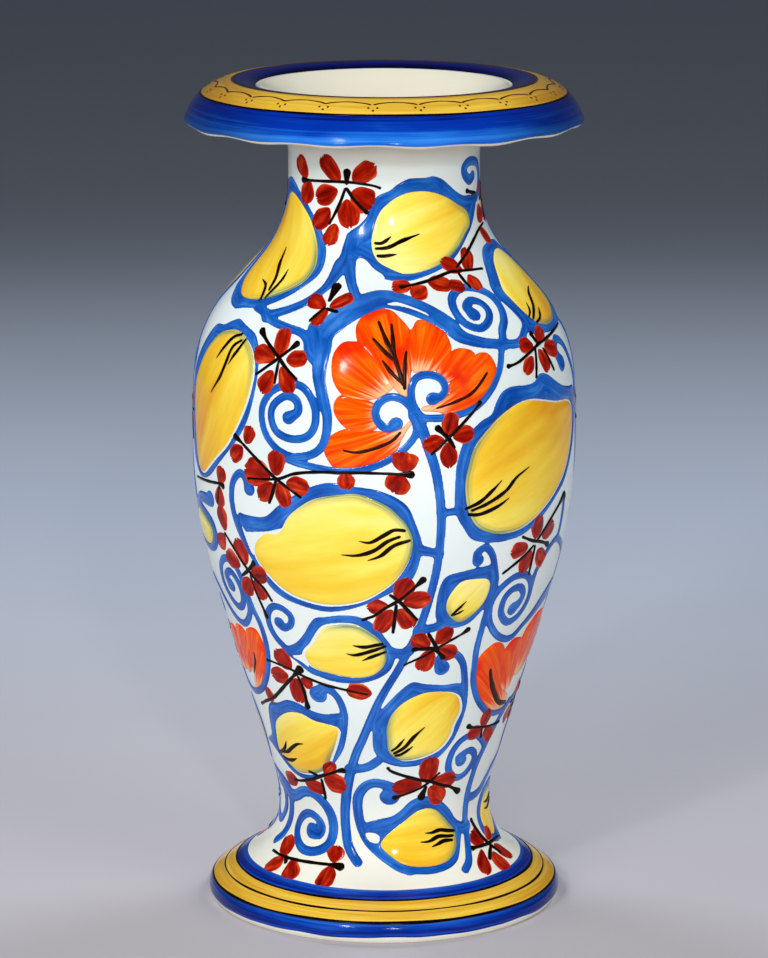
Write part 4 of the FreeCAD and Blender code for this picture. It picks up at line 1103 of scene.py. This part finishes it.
class Glaze:
    """A glossy glaze whose colour is worked out by a few procedural nodes."""

    def __init__(self, name, roughness=0.12, gloss=0.36):
        self.material = bpy.data.materials.new(name)
        self.material.use_nodes = True
        self.tree = self.material.node_tree
        self.shader = self.tree.nodes["Principled BSDF"]
        self.shader.inputs["Roughness"].default_value = roughness
        self.shader.inputs["IOR"].default_value = 1.5
        self.shader.inputs["Specular IOR Level"].default_value = gloss

    def put(self, socket, value):
        if isinstance(value, bpy.types.NodeSocket):
            self.tree.links.new(value, socket)
        else:
            socket.default_value = value

    def node(self, kind, *values):
        """A new node with values or links on its first inputs."""
        node = self.tree.nodes.new(kind)
        for socket, value in zip(node.inputs, values):
            self.put(socket, value)
        return node

    def field(self, name):
        node = self.node("ShaderNodeAttribute")
        node.attribute_name = name
        return node.outputs["Fac"]

    def place(self):
        return self.node("ShaderNodeTexCoord").outputs["Object"]

    def axis(self, name):
        """The place along one axis of the object."""
        return self.node("ShaderNodeSeparateXYZ", self.place()).outputs[name]

    def calc(self, operation, a, b=0.0, clamp=False):
        node = self.node("ShaderNodeMath", a, b)
        node.operation = operation
        node.use_clamp = clamp
        return node.outputs[0]

    def times(self, a, b):
        return self.calc("MULTIPLY", a, b)

    def plus(self, a, b, clamp=False):
        return self.calc("ADD", a, b, clamp)

    def swing(self, noise, size):
        """A noise as a swing to both sides of zero."""
        return self.times(self.calc("SUBTRACT", noise, 0.5), size)

    def point(self, x, y, z):
        return self.node("ShaderNodeCombineXYZ", x, y, z).outputs[0]

    def noise(self, where, scale, detail=3.0, rough=0.55):
        node = self.node("ShaderNodeTexNoise")
        self.put(node.inputs["Vector"], where)
        node.inputs["Scale"].default_value = scale
        node.inputs["Detail"].default_value = detail
        node.inputs["Roughness"].default_value = rough
        return node.outputs["Fac"]

    def brush(self, run_scale, side_scale):
        """Streaks that follow the brush: long along the stroke, fine across it."""
        run = self.times(self.field("along"), run_scale)
        side = self.times(self.field("across"), side_scale)
        return self.noise(self.point(run, side, self.times(self.field("tone"), 37.0)), 1.0)

    def ramp(self, value, stops):
        node = self.node("ShaderNodeValToRGB", value)
        elements = node.color_ramp.elements
        while len(elements) < len(stops):
            elements.new(0.5)
        for element, (position, rgb) in zip(elements, stops):
            element.position = position
            element.color = colour(*rgb)
        return node.outputs["Color"]

    def smooth(self, value, low, high):
        """0 at low and 1 at high, eased between; low may be the larger of the two."""
        node = self.node("ShaderNodeMapRange")
        node.interpolation_type = "SMOOTHSTEP"
        self.put(node.inputs["Value"], value)
        node.inputs["From Min"].default_value = low
        node.inputs["From Max"].default_value = high
        return node.outputs["Result"]

    def tint(self, base, share, strength, rgb):
        """The base colour turned towards another by a share, up to the given strength."""
        node = self.node("ShaderNodeMix")
        node.data_type = "RGBA"
        self.put(node.inputs[0], share if strength == 1 else self.times(share, strength))
        self.put(node.inputs[6], base)
        self.put(node.inputs[7], colour(*rgb))
        return node.outputs[2]

    def painted_side_shade(self, base, near, far, strength, rgb):
        """Painted shade: the colour darkened on the left and right of the object, none on its front and back.
        """
        return self.tint(base, self.smooth(self.calc("ABSOLUTE", self.axis("X")), near, far), strength, rgb)

    def finish(self, base, bump=None, strength=0.05, distance=0.0004):
        self.put(self.shader.inputs["Base Color"], base)
        if bump is not None:
            node = self.node("ShaderNodeBump")
            node.inputs["Strength"].default_value = strength
            node.inputs["Distance"].default_value = distance
            self.put(node.inputs["Height"], bump)
            self.put(self.shader.inputs["Normal"], node.outputs[0])
        return self.material


def white_glaze():
    """The tin-white ground with faint specks, creamier on the foot; from the neck's top up a warmer, darker
    cream, painted shade under the rim and creamier in the mouth.
    """
    g = Glaze("white_glaze", 0.16)
    patches = g.noise(g.place(), 14.0, 4.0)
    base = g.ramp(patches, [(0.3, (218, 229, 227)), (0.55, (230, 239, 237)), (0.75, (238, 241, 235))])
    # painted shade: a warmer, darker cream from the top of the neck upward, under the rim's overhang and on
    # into the mouth
    base = g.tint(base, g.smooth(g.axis("Z"), 0.360, 0.378), 0.8, (226, 216, 190))
    base = g.tint(base, g.smooth(g.axis("Z"), 0.075, 0.030), 0.75, (238, 232, 212))
    specks = g.smooth(g.noise(g.place(), 900.0, 2.0), 0.70, 0.78)
    base = g.tint(base, specks, 0.25, (196, 196, 182))
    return g.finish(base, g.noise(g.place(), 55.0), 0.10, 0.0010)


def blue_glaze():
    """The vines: streaky along the brush, pooled here and there, dark where the coat's edge thickens."""
    g = Glaze("vine_blue")
    pool = g.noise(g.place(), 60.0)
    value = g.plus(g.times(g.brush(0.05, 1.6), 0.6), g.times(pool, 0.4))
    base = g.ramp(value, [(0.30, (4, 54, 134)), (0.43, (12, 78, 168)), (0.55, (30, 102, 192)),
                          (0.74, (82, 146, 222))])
    base = g.tint(base, g.smooth(g.field("depth"), 0.9, 0.0), 0.5, (2, 50, 136))
    return g.finish(base, pool, 0.12, 0.0006)


def band_blue(name, stops, gloss, side_shade):
    """Blue rings laid on the wheel: long level streaks, darkened on the two sides by painted shade."""
    g = Glaze(name, gloss=gloss)
    east, north, across = g.field("east"), g.field("north"), g.field("across")
    streak = g.noise(g.point(g.times(east, 0.8), g.times(north, 0.8), g.times(across, 7.0)), 1.0, 4.0, 0.6)
    slow = g.noise(g.point(g.times(east, 2.5), g.times(north, 2.5), across), 1.0)
    value = g.plus(g.plus(across, g.swing(streak, 1.5)), g.swing(slow, 0.6), clamp=True)
    base = g.painted_side_shade(g.ramp(value, stops), 0.035, 0.088, side_shade, (0, 14, 84))
    return g.finish(base, streak, 0.10, 0.0005)


def band_yellow(name, side_shade):
    """Yellow rings laid on the wheel, darkened on the two sides by painted shade."""
    g = Glaze(name)
    streak = g.noise(g.point(g.field("east"), g.field("north"), g.times(g.field("across"), 5.0)), 1.4, 4.0)
    base = g.ramp(streak, [(0.3, (208, 148, 30)), (0.5, (226, 178, 52)), (0.7, (240, 202, 76))])
    base = g.painted_side_shade(base, 0.045, 0.088, side_shade, (160, 106, 12))
    return g.finish(base, streak, 0.06, 0.0005)


def yellow_glaze():
    """Lemon wash brushed from tip to tip of the fruit, with green bleeding in from the halo."""
    g = Glaze("lemon_yellow")
    along = g.field("along")
    strokes = g.noise(g.point(g.times(along, 0.018), g.times(g.field("across"), 2.6), 0.0), 1.0, 4.0)
    wash = g.swing(g.noise(g.place(), 22.0, 1.0), 0.6)
    value = g.plus(g.plus(g.field("tone"), wash), g.swing(strokes, 1.0), clamp=True)
    base = g.ramp(value, [(0.0, (252, 236, 138)), (0.3, (250, 224, 86)), (0.6, (246, 200, 48)),
                          (0.85, (236, 172, 30)), (1.0, (228, 140, 22))])
    near_edge = g.smooth(g.field("depth"), 4.6, 0.3)
    hatch = g.noise(g.point(g.times(along, 0.03), g.times(g.field("depth"), 1.1), 0.0), 1.0)
    patchy = g.plus(g.times(g.smooth(hatch, 0.36, 0.62), 0.6), 0.4)
    base = g.tint(base, g.times(g.times(near_edge, g.field("fringe")), patchy), 1, (86, 132, 104))
    return g.finish(base, strokes, 0.08, 0.0006)


def orange_glaze():
    """The flower petals, brushed from root to tip: red flames over orange, pale root, dark edge."""
    g = Glaze("petal_orange", gloss=0.2)
    streak = g.brush(0.8, 4.5)
    base = g.ramp(streak, [(0.30, (232, 46, 0)), (0.46, (242, 74, 0)), (0.60, (248, 104, 4)),
                           (0.80, (252, 146, 34))])
    flame = g.plus(g.noise(g.place(), 52.0, 2.0), g.swing(streak, 0.25))
    base = g.tint(base, g.smooth(flame, 0.5, 0.64), 0.85, (230, 26, 0))
    root = g.plus(g.field("along"), g.swing(streak, -0.8))
    base = g.tint(base, g.smooth(root, 0.34, 0.02), 0.85, (254, 206, 150))
    base = g.tint(base, g.smooth(g.field("depth"), 0.9, 0.0), 0.6, (222, 44, 4))
    return g.finish(base, streak, 0.12, 0.0006)


def red_glaze():
    """The blossom petals: deep red where the dab is thick, paler streaks where the brush dragged."""
    g = Glaze("blossom_red", gloss=0.2)
    streak = g.brush(1.0, 1.7)
    side = g.smooth(g.calc("ABSOLUTE", g.field("across")), 0.6, 1.0)
    value = g.plus(g.times(streak, 0.7), g.times(g.noise(g.place(), 130.0, 2.0), 0.3))
    base = g.ramp(g.plus(value, g.times(side, 0.10)),
                  [(0.32, (90, 2, 0)), (0.43, (134, 10, 0)), (0.54, (164, 26, 2)), (0.65, (204, 58, 16)),
                   (0.78, (232, 128, 84))])
    return g.finish(base, streak, 0.12, 0.0005)


def line_glaze(name, dark, light):
    """Thin lines drawn with a liner brush, less glassy than the washes."""
    g = Glaze(name, 0.22, 0.15)
    base = g.ramp(g.brush(0.3, 1.0), [(0.3, dark), (0.75, light)])
    return g.finish(base, g.noise(g.place(), 120.0), 0.08, 0.0004)


# ---------------------------------------------------------------- the wall, one piece per CAD node
WHITE = white_glaze()
for node, section in (("foot", foot_section), ("lower_bowl", lower_section), ("upper_bowl", upper_section),
                      ("neck_collar", neck_section)):
    strips = wall_strips(*section())
    if node == "lower_bowl":
        floor_under = WAIST_HEIGHT + 0.02
        strips[3] = np.array([(FLOOR_HOLE, floor_under), (WAIST_RADIUS - WALL, floor_under)])
    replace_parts(turned_piece(f"{node}_wall", strips, WHITE), node)
throat_edge = np.vstack([RIM_OVER[-1], RIM_UNDER[0]])
rim_wall = turned_piece("rim_wall", [np.vstack([RIM_UNDER, RIM_OVER]), throat_edge], WHITE, lobed=True)
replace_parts(rim_wall, "rim_flange")

# ---------------------------------------------------------------- rings of foot and rim
# Colours across a ring, from its first edge to its last.
FOOT_BLUE = [(0.0, (12, 70, 192)), (0.3, (0, 22, 108)), (0.6, (4, 54, 160)), (1.0, (34, 98, 198))]
# painted light: the rim's blue is pale at the lip, which faces the front lamps, and darkens towards the crest
RIM_BLUE = [(0.0, (50, 132, 224)), (0.3, (22, 98, 204)), (0.55, (2, 52, 164)), (0.8, (2, 46, 160)),
            (1.0, (0, 12, 94))]
NAVY = [(0.0, (0, 3, 48)), (0.5, (4, 16, 100)), (1.0, (0, 3, 42))]
TOP = int(np.argmax(CREST.points[:, 1]))
WIDEST = int(np.argmax(CREST.points[:, 0]))
EDGE_START = 8             # the first points of the rim's outer skin turn round its edge from below


def crest_at(radius, outside=True):
    """Arc length on the rim's outer skin at a radius from the axis, outside or inside of its crest."""
    part = slice(WIDEST, TOP + 1) if outside else slice(TOP, len(CREST.points))
    return float(np.interp(-radius, -CREST.points[part, 0], CREST.length[part]))


def lip_at(height):
    """Arc length on the rim's outer skin at a height below its widest line."""
    part = slice(EDGE_START, WIDEST + 1)
    return float(np.interp(height, CREST.points[part, 1], CREST.length[part]))


RIM_LINE, RIM_YELLOW_END = crest_at(86.6), crest_at(72.0)


def foot_rings():
    """Three rings, from the foot's edge inwards, as arc lengths up its outside."""
    # The last value given to each ring's glaze sets how strongly painted shade darkens it on the left and
    # right.
    outer = band_blue("foot_blue_outer", FOOT_BLUE, gloss=0.2, side_shade=0.6)
    band("foot_edge_blue", BODY, 2.9, 10.3, outer, "blue_glaze", ruffle=0.45, seed=0.4)
    yellow = band_yellow("foot_yellow_ring", side_shade=0.25)
    band("foot_yellow", BODY, 10.2, 24.0, yellow, "yellow_glaze", height=0.35, seed=1.1)
    inner = band_blue("foot_blue_inner", FOOT_BLUE, gloss=0.25, side_shade=0.55)
    band("foot_ring_blue", BODY, 23.9, 30.7, inner, "blue_glaze", seed=2.2)


def rim_rings():
    """Three rings, from the lip over the crest to the mouth, as arc lengths along the rim's outer skin."""
    drawn = {"height": 0.4, "sway": 0.3, "columns": 720}
    # The last value given to each ring's glaze sets how strongly painted shade darkens it on the left and
    # right.
    blue = band_blue("rim_blue_ring", RIM_BLUE, gloss=0.2, side_shade=0.8)
    band("rim_blue", CREST, lip_at(379.6), RIM_LINE + 0.1, blue, "blue_glaze", seed=0.9, **drawn)
    yellow = band_yellow("rim_yellow_ring", side_shade=0.75)
    band("rim_yellow", CREST, RIM_LINE, RIM_YELLOW_END + 0.1, yellow, "yellow_glaze", seed=1.3, **drawn)
    navy = band_blue("rim_navy_ring", NAVY, gloss=0.1, side_shade=0.4)
    throat = crest_at(60.4, outside=False)
    band("rim_navy", CREST, RIM_YELLOW_END, throat, navy, "blue_glaze", seed=2.6, **drawn)


foot_rings()
rim_rings()

# ---------------------------------------------------------------- laying the coats
# How golden a lemon is on the whole.
GOLDEN = {"right": 0.56, "left": 0.60, "middle": 0.38, "neck_left": 0.5, "neck_right": 0.3,
          "small_right": 0.25, "small_middle": 0.32, "lower_left": 0.42, "lower_right": 0.36, "lowest": 0.45,
          "left_edge": 0.2}
# The direction, in degrees, from which green bleeds in from a lemon's blue border.
FRINGES = {"middle": 55, "small_middle": 50, "lowest": 10, "lower_right": 215, "right": 200,
           "neck_right": -30, "neck_left": -20, "small_right": 250, "left": 80, "lower_left": -60,
           "shoulder_right": -60}
# Which way, in degrees and millimetres, a bare white crescent is left between a lemon and its border.
BARE = {"middle": (-0.3, -0.65), "right": (0.7, 0.2), "left": (0.5, -0.4), "lower_left": (0.9, -0.3),
        "lower_right": (1.0, -0.2), "small_middle": (-0.9, 0.4)}
USUAL_GOLDEN, USUAL_FRINGE = 0.45, 60
BESIDE_VINES = 0.5         # petals stop this far inside the vines that cross them
PETAL_STREAKS = 9.0        # millimetres across a petal over which its streaks are laid


def vine_coat():
    """The blue vines with the lemons' haloes, cut away where a lemon or a white window shows."""
    coat = Coat(blend=1.4, spread=0.45)
    for points, width in VINES:
        coat.stroke(points, width)
    for fruit, halo, tilt in LEMONS.values():
        coat.patch(halo)
    for window in WHITE_WINDOWS:
        coat.cut(window)
    for name, (fruit, halo, tilt) in LEMONS.items():
        coat.cut(fruit, grow=-0.5)
        if name in BARE:
            coat.cut([(turn + BARE[name][0], height + BARE[name][1]) for turn, height in fruit], grow=0.1)
    return coat


def tip_to_tip(fruit, turn0, s0, x, y):
    """Brush directions in a lemon: along its long axis, and across it like the meridians of a globe."""
    scale = math.radians(1) * float(BODY.radius(s0))
    outline = np.array([((turn - turn0) * scale, BODY.at_height(height) - s0) for turn, height in fruit])
    across, axis = np.linalg.eigh(np.cov(outline.T))[1].T
    reach = np.abs(outline @ axis).max()
    breadth = np.abs(outline @ across).max()
    run = x * axis[0] + y * axis[1]
    over = x * across[0] + y * across[1]
    return run + 7 * turn0, over / breadth / np.sqrt(np.maximum(1 - (run / reach / 1.08) ** 2, 0.08))


def lemon_coat():
    """The yellow fruits, with how golden each place is, and a field of how much green bleeds in."""
    coat = Coat(blend=0.01)
    fringe = CHART.blank(0)
    for name, (fruit, halo, tilt) in LEMONS.items():
        window, depth = coat.patch(fruit, tone=0.5)
        turns, heights = zip(*fruit)
        turn0, s0 = np.mean(turns), BODY.at_height(np.mean(heights))
        x, y = CHART.offsets(window, turn0, s0)
        tall = max(heights) - min(heights)
        shade = GOLDEN.get(name, USUAL_GOLDEN) + 0.5 * (x * cosd(tilt) + y * sind(tilt)) / tall
        green = FRINGES.get(name, USUAL_FRINGE)
        side = (x * cosd(green) + y * sind(green)) / (tall / 2)
        run, over = tip_to_tip(fruit, turn0, s0, x, y)
        box = CHART.box(window)
        for field, value in ((coat.tone, shade), (coat.along, run), (coat.across, over),
                             (fringe, np.clip(side * 1.3 - 0.1, 0, 1))):
            field[box] = np.where(depth > -2, value, field[box])
    return coat, fringe


def petal_coat(outline, root, tip, vines):
    """One flower petal, brushed from its root to its tip, laid beside the vines and never over them."""
    coat = Coat(blend=0.01)
    window = coat.patch(outline, grow=1.1)[0]
    low, high, columns = window
    root_s, tip_s = BODY.at_height(root[1]), BODY.at_height(tip[1])
    ax, ay = (tip[0] - root[0]) * CHART.scale[low:high][:, None], tip_s - root_s
    length = np.hypot(ax, ay)
    x, y = CHART.offsets(window, root[0], root_s)
    along = (x * ax + y * ay) / length ** 2
    box = CHART.box(window)
    coat.along[box] = along
    coat.across[box] = (x * ay - y * ax) / length / PETAL_STREAKS / (0.35 + np.clip(along, 0, 1))
    coat.depth = np.minimum(coat.depth, BESIDE_VINES - vines.depth)
    return coat


def lay_vines_and_lemons(vines, lemons, fringe):
    """Build both coats in four storeys each; returns the height of the painted ground they leave."""
    vine_lift = bead(vines.depth, 0.45, 1.5)
    lemon_lift = bead(lemons.depth, 0.40, 1.6) + crown(lemons.depth, 0.35, 9)
    blue, yellow = blue_glaze(), yellow_glaze()
    storeys = [CHART.rows * k // 4 for k in range(5)]
    for number, (first, last) in enumerate(zip(storeys[:-1], storeys[1:]), start=1):
        rows = (first, min(last + 1, CHART.rows))
        coat_piece(f"vines_{number}", vines, vine_lift, blue, rows)
        coat_piece(f"lemons_{number}", lemons, lemon_lift, yellow, rows, {"fringe": fringe})
    return np.maximum(np.where(vines.depth > 0, vine_lift, 0), np.where(lemons.depth > 0, lemon_lift, 0))


def lay_petals(petals, ground):
    """Build each petal as a plump dab of its own; returns the ground raised by them."""
    orange = orange_glaze()
    for number, coat in enumerate(petals, start=1):
        lift = bead(coat.depth, 0.55, 2.2) + crown(coat.depth, 0.30, 5)
        coat_piece(f"petal_{number:02d}", coat, lift, orange)
        ground = np.maximum(ground, np.where(coat.depth > 0, lift, 0))
    return ground


def softened(field):
    """A field averaged over the nine grid points round each point."""
    return sum(np.roll(np.roll(field, i, 0), j, 1) for i in (-1, 0, 1) for j in (-1, 0, 1)) / 9


vines = vine_coat()
lemons, fringe = lemon_coat()
petals = [petal_coat(*shape, vines) for flower in PETALS.values() for shape in flower]
ground = softened(lay_petals(petals, lay_vines_and_lemons(vines, lemons, fringe)))

# ---------------------------------------------------------------- blossoms, twigs and other brush lines
# The brushes used are this much broader than the widths listed with the pattern.
BLOSSOM_LONGER, BLOSSOM_WIDER, FOOT_PETAL_WIDER = 1.34, 1.48, 1.25
SHORT_TWIG, SHORT_TWIG_WIDER, LONG_TWIG_WIDER, FOOT_TWIG_WIDER = 22, 1.45, 1.15, 1.4
BLOB_SHARE, VEIN_WIDER = 0.95, 1.6
ACCENT_WIDEST = 2.0
LINE_OVER_PAINT = 0.12     # black lines lie this far above the paint they cross
MM_PER_DEGREE = 1.4        # across the body, taken as an average


def lay_blossoms():
    """Small red petals set round the hearts of the blossoms, and the row of them on the foot."""
    red = Strokes(ground=ground)
    for heart, blooms in BLOSSOMS:
        for turn, height, length, width in blooms:
            middle = BODY.at_height(height)
            scale = math.radians(1) * float(BODY.radius(middle))
            dx, dy = (turn - heart[0]) * scale, middle - BODY.at_height(heart[1])
            reach = BLOSSOM_LONGER * length / 2 / math.hypot(dx, dy)
            root = (turn - dx * reach / scale, middle - dy * reach)
            tip = (turn + dx * reach / scale, middle + dy * reach)
            red.petal(root, tip, BLOSSOM_WIDER * width)
    for root, tip, width in FOOT_PETALS:
        red.petal(root, tip, FOOT_PETAL_WIDER * width)
    red.build("blossom_petals", red_glaze())


def lay_twigs(black):
    """Black twigs through the blossoms, and the slanting dashes on the lemons."""
    twigs = Strokes(ground=ground + LINE_OVER_PAINT)
    drawn = {"taper": (0.75, 0.75), "height": 0.3}
    for points, width, blobs in TWIGS:
        span = math.hypot((points[-1][0] - points[0][0]) * MM_PER_DEGREE, points[-1][1] - points[0][1])
        wider = SHORT_TWIG_WIDER if span < SHORT_TWIG else LONG_TWIG_WIDER
        twigs.line(points, wider * width, blobs=[BLOB_SHARE * radius for radius in blobs], **drawn)
    for points, width, blobs in FOOT_TWIGS:
        twigs.line(points, FOOT_TWIG_WIDER * width, blobs=blobs, heights=False, **drawn)
    for points in ACCENTS:
        across = (points[-1][0] - points[0][0]) * CHART.scale[CHART.rows // 2]
        length = math.hypot(across, points[-1][1] - points[0][1])
        twigs.line(points, min(ACCENT_WIDEST, 0.45 + 0.09 * length), taper=(0.7, 0.2), height=0.3)
    twigs.build("black_twigs", black)


def lay_veins():
    veins = Strokes(ground=ground)
    for points, width in VEINS:
        veins.line(points, VEIN_WIDER * width, taper=(0.5, 0.8), height=0.2)
    veins.build("flower_veins", line_glaze("vein_line", (30, 6, 2), (70, 22, 6)))


def lay_ring_lines(black, brown):
    """Thin lines along the edges of the yellow rings, and one in the middle of the foot's."""
    ring_line("foot_line_outer", BODY, 10.3, 1.5, black, 0.30, 1.1, 0.35)
    ring_line("foot_line_middle", BODY, 17.5, 1.15, black, 0.33, 4.0)
    ring_line("foot_line_inner", BODY, 24.0, 1.3, black, 0.30, 2.8, 0.35)
    ring_line("rim_line_outer", CREST, RIM_LINE, 1.2, black, 0.33, 1.3)
    ring_line("rim_line_inner", CREST, RIM_YELLOW_END, 0.8, brown, 0.33, 3.0)


def lay_scallops(brown, count=24, first=-4.0):
    """Thin brown swags round the rim's yellow ring, each cusp hung with three dots."""
    swags = Strokes(CREST, base=0.35)
    drawn = {"height": 0.16, "heights": False}
    crest, cusp = crest_at(78.2), crest_at(80.6)
    shoulder = cusp + (crest - cusp) * 0.55
    for k in range(count // 2):                # half of them, as every stroke is laid twice
        a = first + k * 360 / count + RNG.uniform(-0.5, 0.5)
        b = first + (k + 1) * 360 / count
        swag = [(a, cusp), (a + 2.5, shoulder), ((a + b) / 2, crest), (b - 2.5, shoulder), (b, cusp)]
        swags.line(swag, 0.9, taper=(1.4, 1.4), **drawn)
        for turn, below in ((a - 1.3, 2.3), (a + 1.5, 2.3), (a + 0.2, 4.1)):
            dot = [(turn - 0.4, cusp - below), (turn + 0.4, cusp - below)]
            swags.line(dot, 1.5, step=0.2, **drawn)
    swags.build("rim_scallops", brown)


BLACK = line_glaze("black_line", (3, 0, 0), (26, 6, 2))
BROWN = line_glaze("brown_line", (58, 20, 4), (98, 46, 12))
lay_blossoms()
lay_twigs(BLACK)
lay_veins()
lay_ring_lines(BLACK, BROWN)
lay_scallops(BROWN)


# ---------------------------------------------------------------- stage, camera and light
def stage_floor(half=8.0, count=8):
    """A plain matt floor, faintly cloudy, that turns cooler towards the back of the room."""
    g = Glaze("floor_pale", 0.6)
    depth = g.smooth(g.axis("Y"), 0.0, 0.9)
    base = g.tint(colour(196, 190, 193), depth, 1, (198, 204, 218))
    material = g.finish(g.tint(base, g.noise(g.place(), 3.0), 0.05, (120, 122, 128)))
    mesh = bpy.data.meshes.new("floor")
    side = np.linspace(-half, half, count)
    mesh.from_pydata([(x, y, -0.0002) for y in side for x in side], [],
                     [(r * count + c, r * count + c + 1, (r + 1) * count + c + 1, (r + 1) * count + c)
                      for r in range(count - 1) for c in range(count - 1)])
    mesh.materials.append(material)
    floor = bpy.data.objects.new("floor", mesh)
    bpy.context.scene.collection.objects.link(floor)


def soft_light(name, where, size, power, beam, mirrored=True, tint=(1.0, 1.0, 1.0)):
    """A rectangular light aimed at the vase; one that isn't mirrored shows no pale box in the glaze."""
    data = bpy.data.lights.new(name, "AREA")
    data.shape = "RECTANGLE"
    data.size, data.size_y = size
    data.energy = power
    data.color = tint
    data.spread = math.radians(beam)
    light = bpy.data.objects.new(name, data)
    light.location = where
    light.visible_glossy = mirrored
    x, y, z = np.array(VASE_MIDDLE) - np.array(where)
    light.rotation_euler = (math.atan2(math.hypot(x, y), -z), 0, math.atan2(y, x) - math.pi / 2)
    bpy.context.scene.collection.objects.link(light)


def room_light():
    """A faint, cool light from all around."""
    world = bpy.data.worlds.new("soft_room")
    bpy.context.scene.world = world
    world.use_nodes = True
    background = world.node_tree.nodes["Background"]
    background.inputs["Color"].default_value = (0.76, 0.86, 1.0, 1)
    background.inputs["Strength"].default_value = 0.085


def front_camera():
    data = bpy.data.cameras.new("camera")
    data.lens = 161.6
    data.sensor_width = 36.0
    camera = bpy.data.objects.new("camera", data)
    camera.location = (0.0, -2.0211, 0.6518)
    camera.rotation_euler = (math.radians(90 - 12.436), 0, 0)
    bpy.context.scene.collection.objects.link(camera)
    bpy.context.scene.camera = camera


VASE_MIDDLE = (0, 0, 0.2)
COOL = (0.82, 0.91, 1.0)
stage_floor()
room_light()
soft_light("key", (-1.2, -1.95, 1.2), (1.1, 1.1), 3.35, beam=70, mirrored=False)
soft_light("fill", (1.7, -1.5, 0.9), (1.2, 1.5), 3.1, beam=70, mirrored=False)
soft_light("left", (-2.0, -0.3, 0.9), (1.0, 1.4), 1.35, beam=70, mirrored=False)
soft_light("front", (-0.15, -2.1, 0.70), (0.3, 0.3), 1.45, beam=70, mirrored=False)
soft_light("glint", (0.25, -2.1, 1.0), (0.12, 0.12), 1.9, beam=90)
soft_light("window", (-0.9, -1.8, 1.3), (0.16, 0.30), 2.2, beam=90)
soft_light("back_right", (1.5, 1.5, 2.2), (0.9, 0.9), 6.9, beam=80, mirrored=False, tint=COOL)
soft_light("back_left", (-1.4, 1.6, 2.2), (0.9, 0.9), 6.9, beam=80, mirrored=False, tint=COOL)
front_camera()
bpy.context.scene.view_settings.view_transform = "Standard"
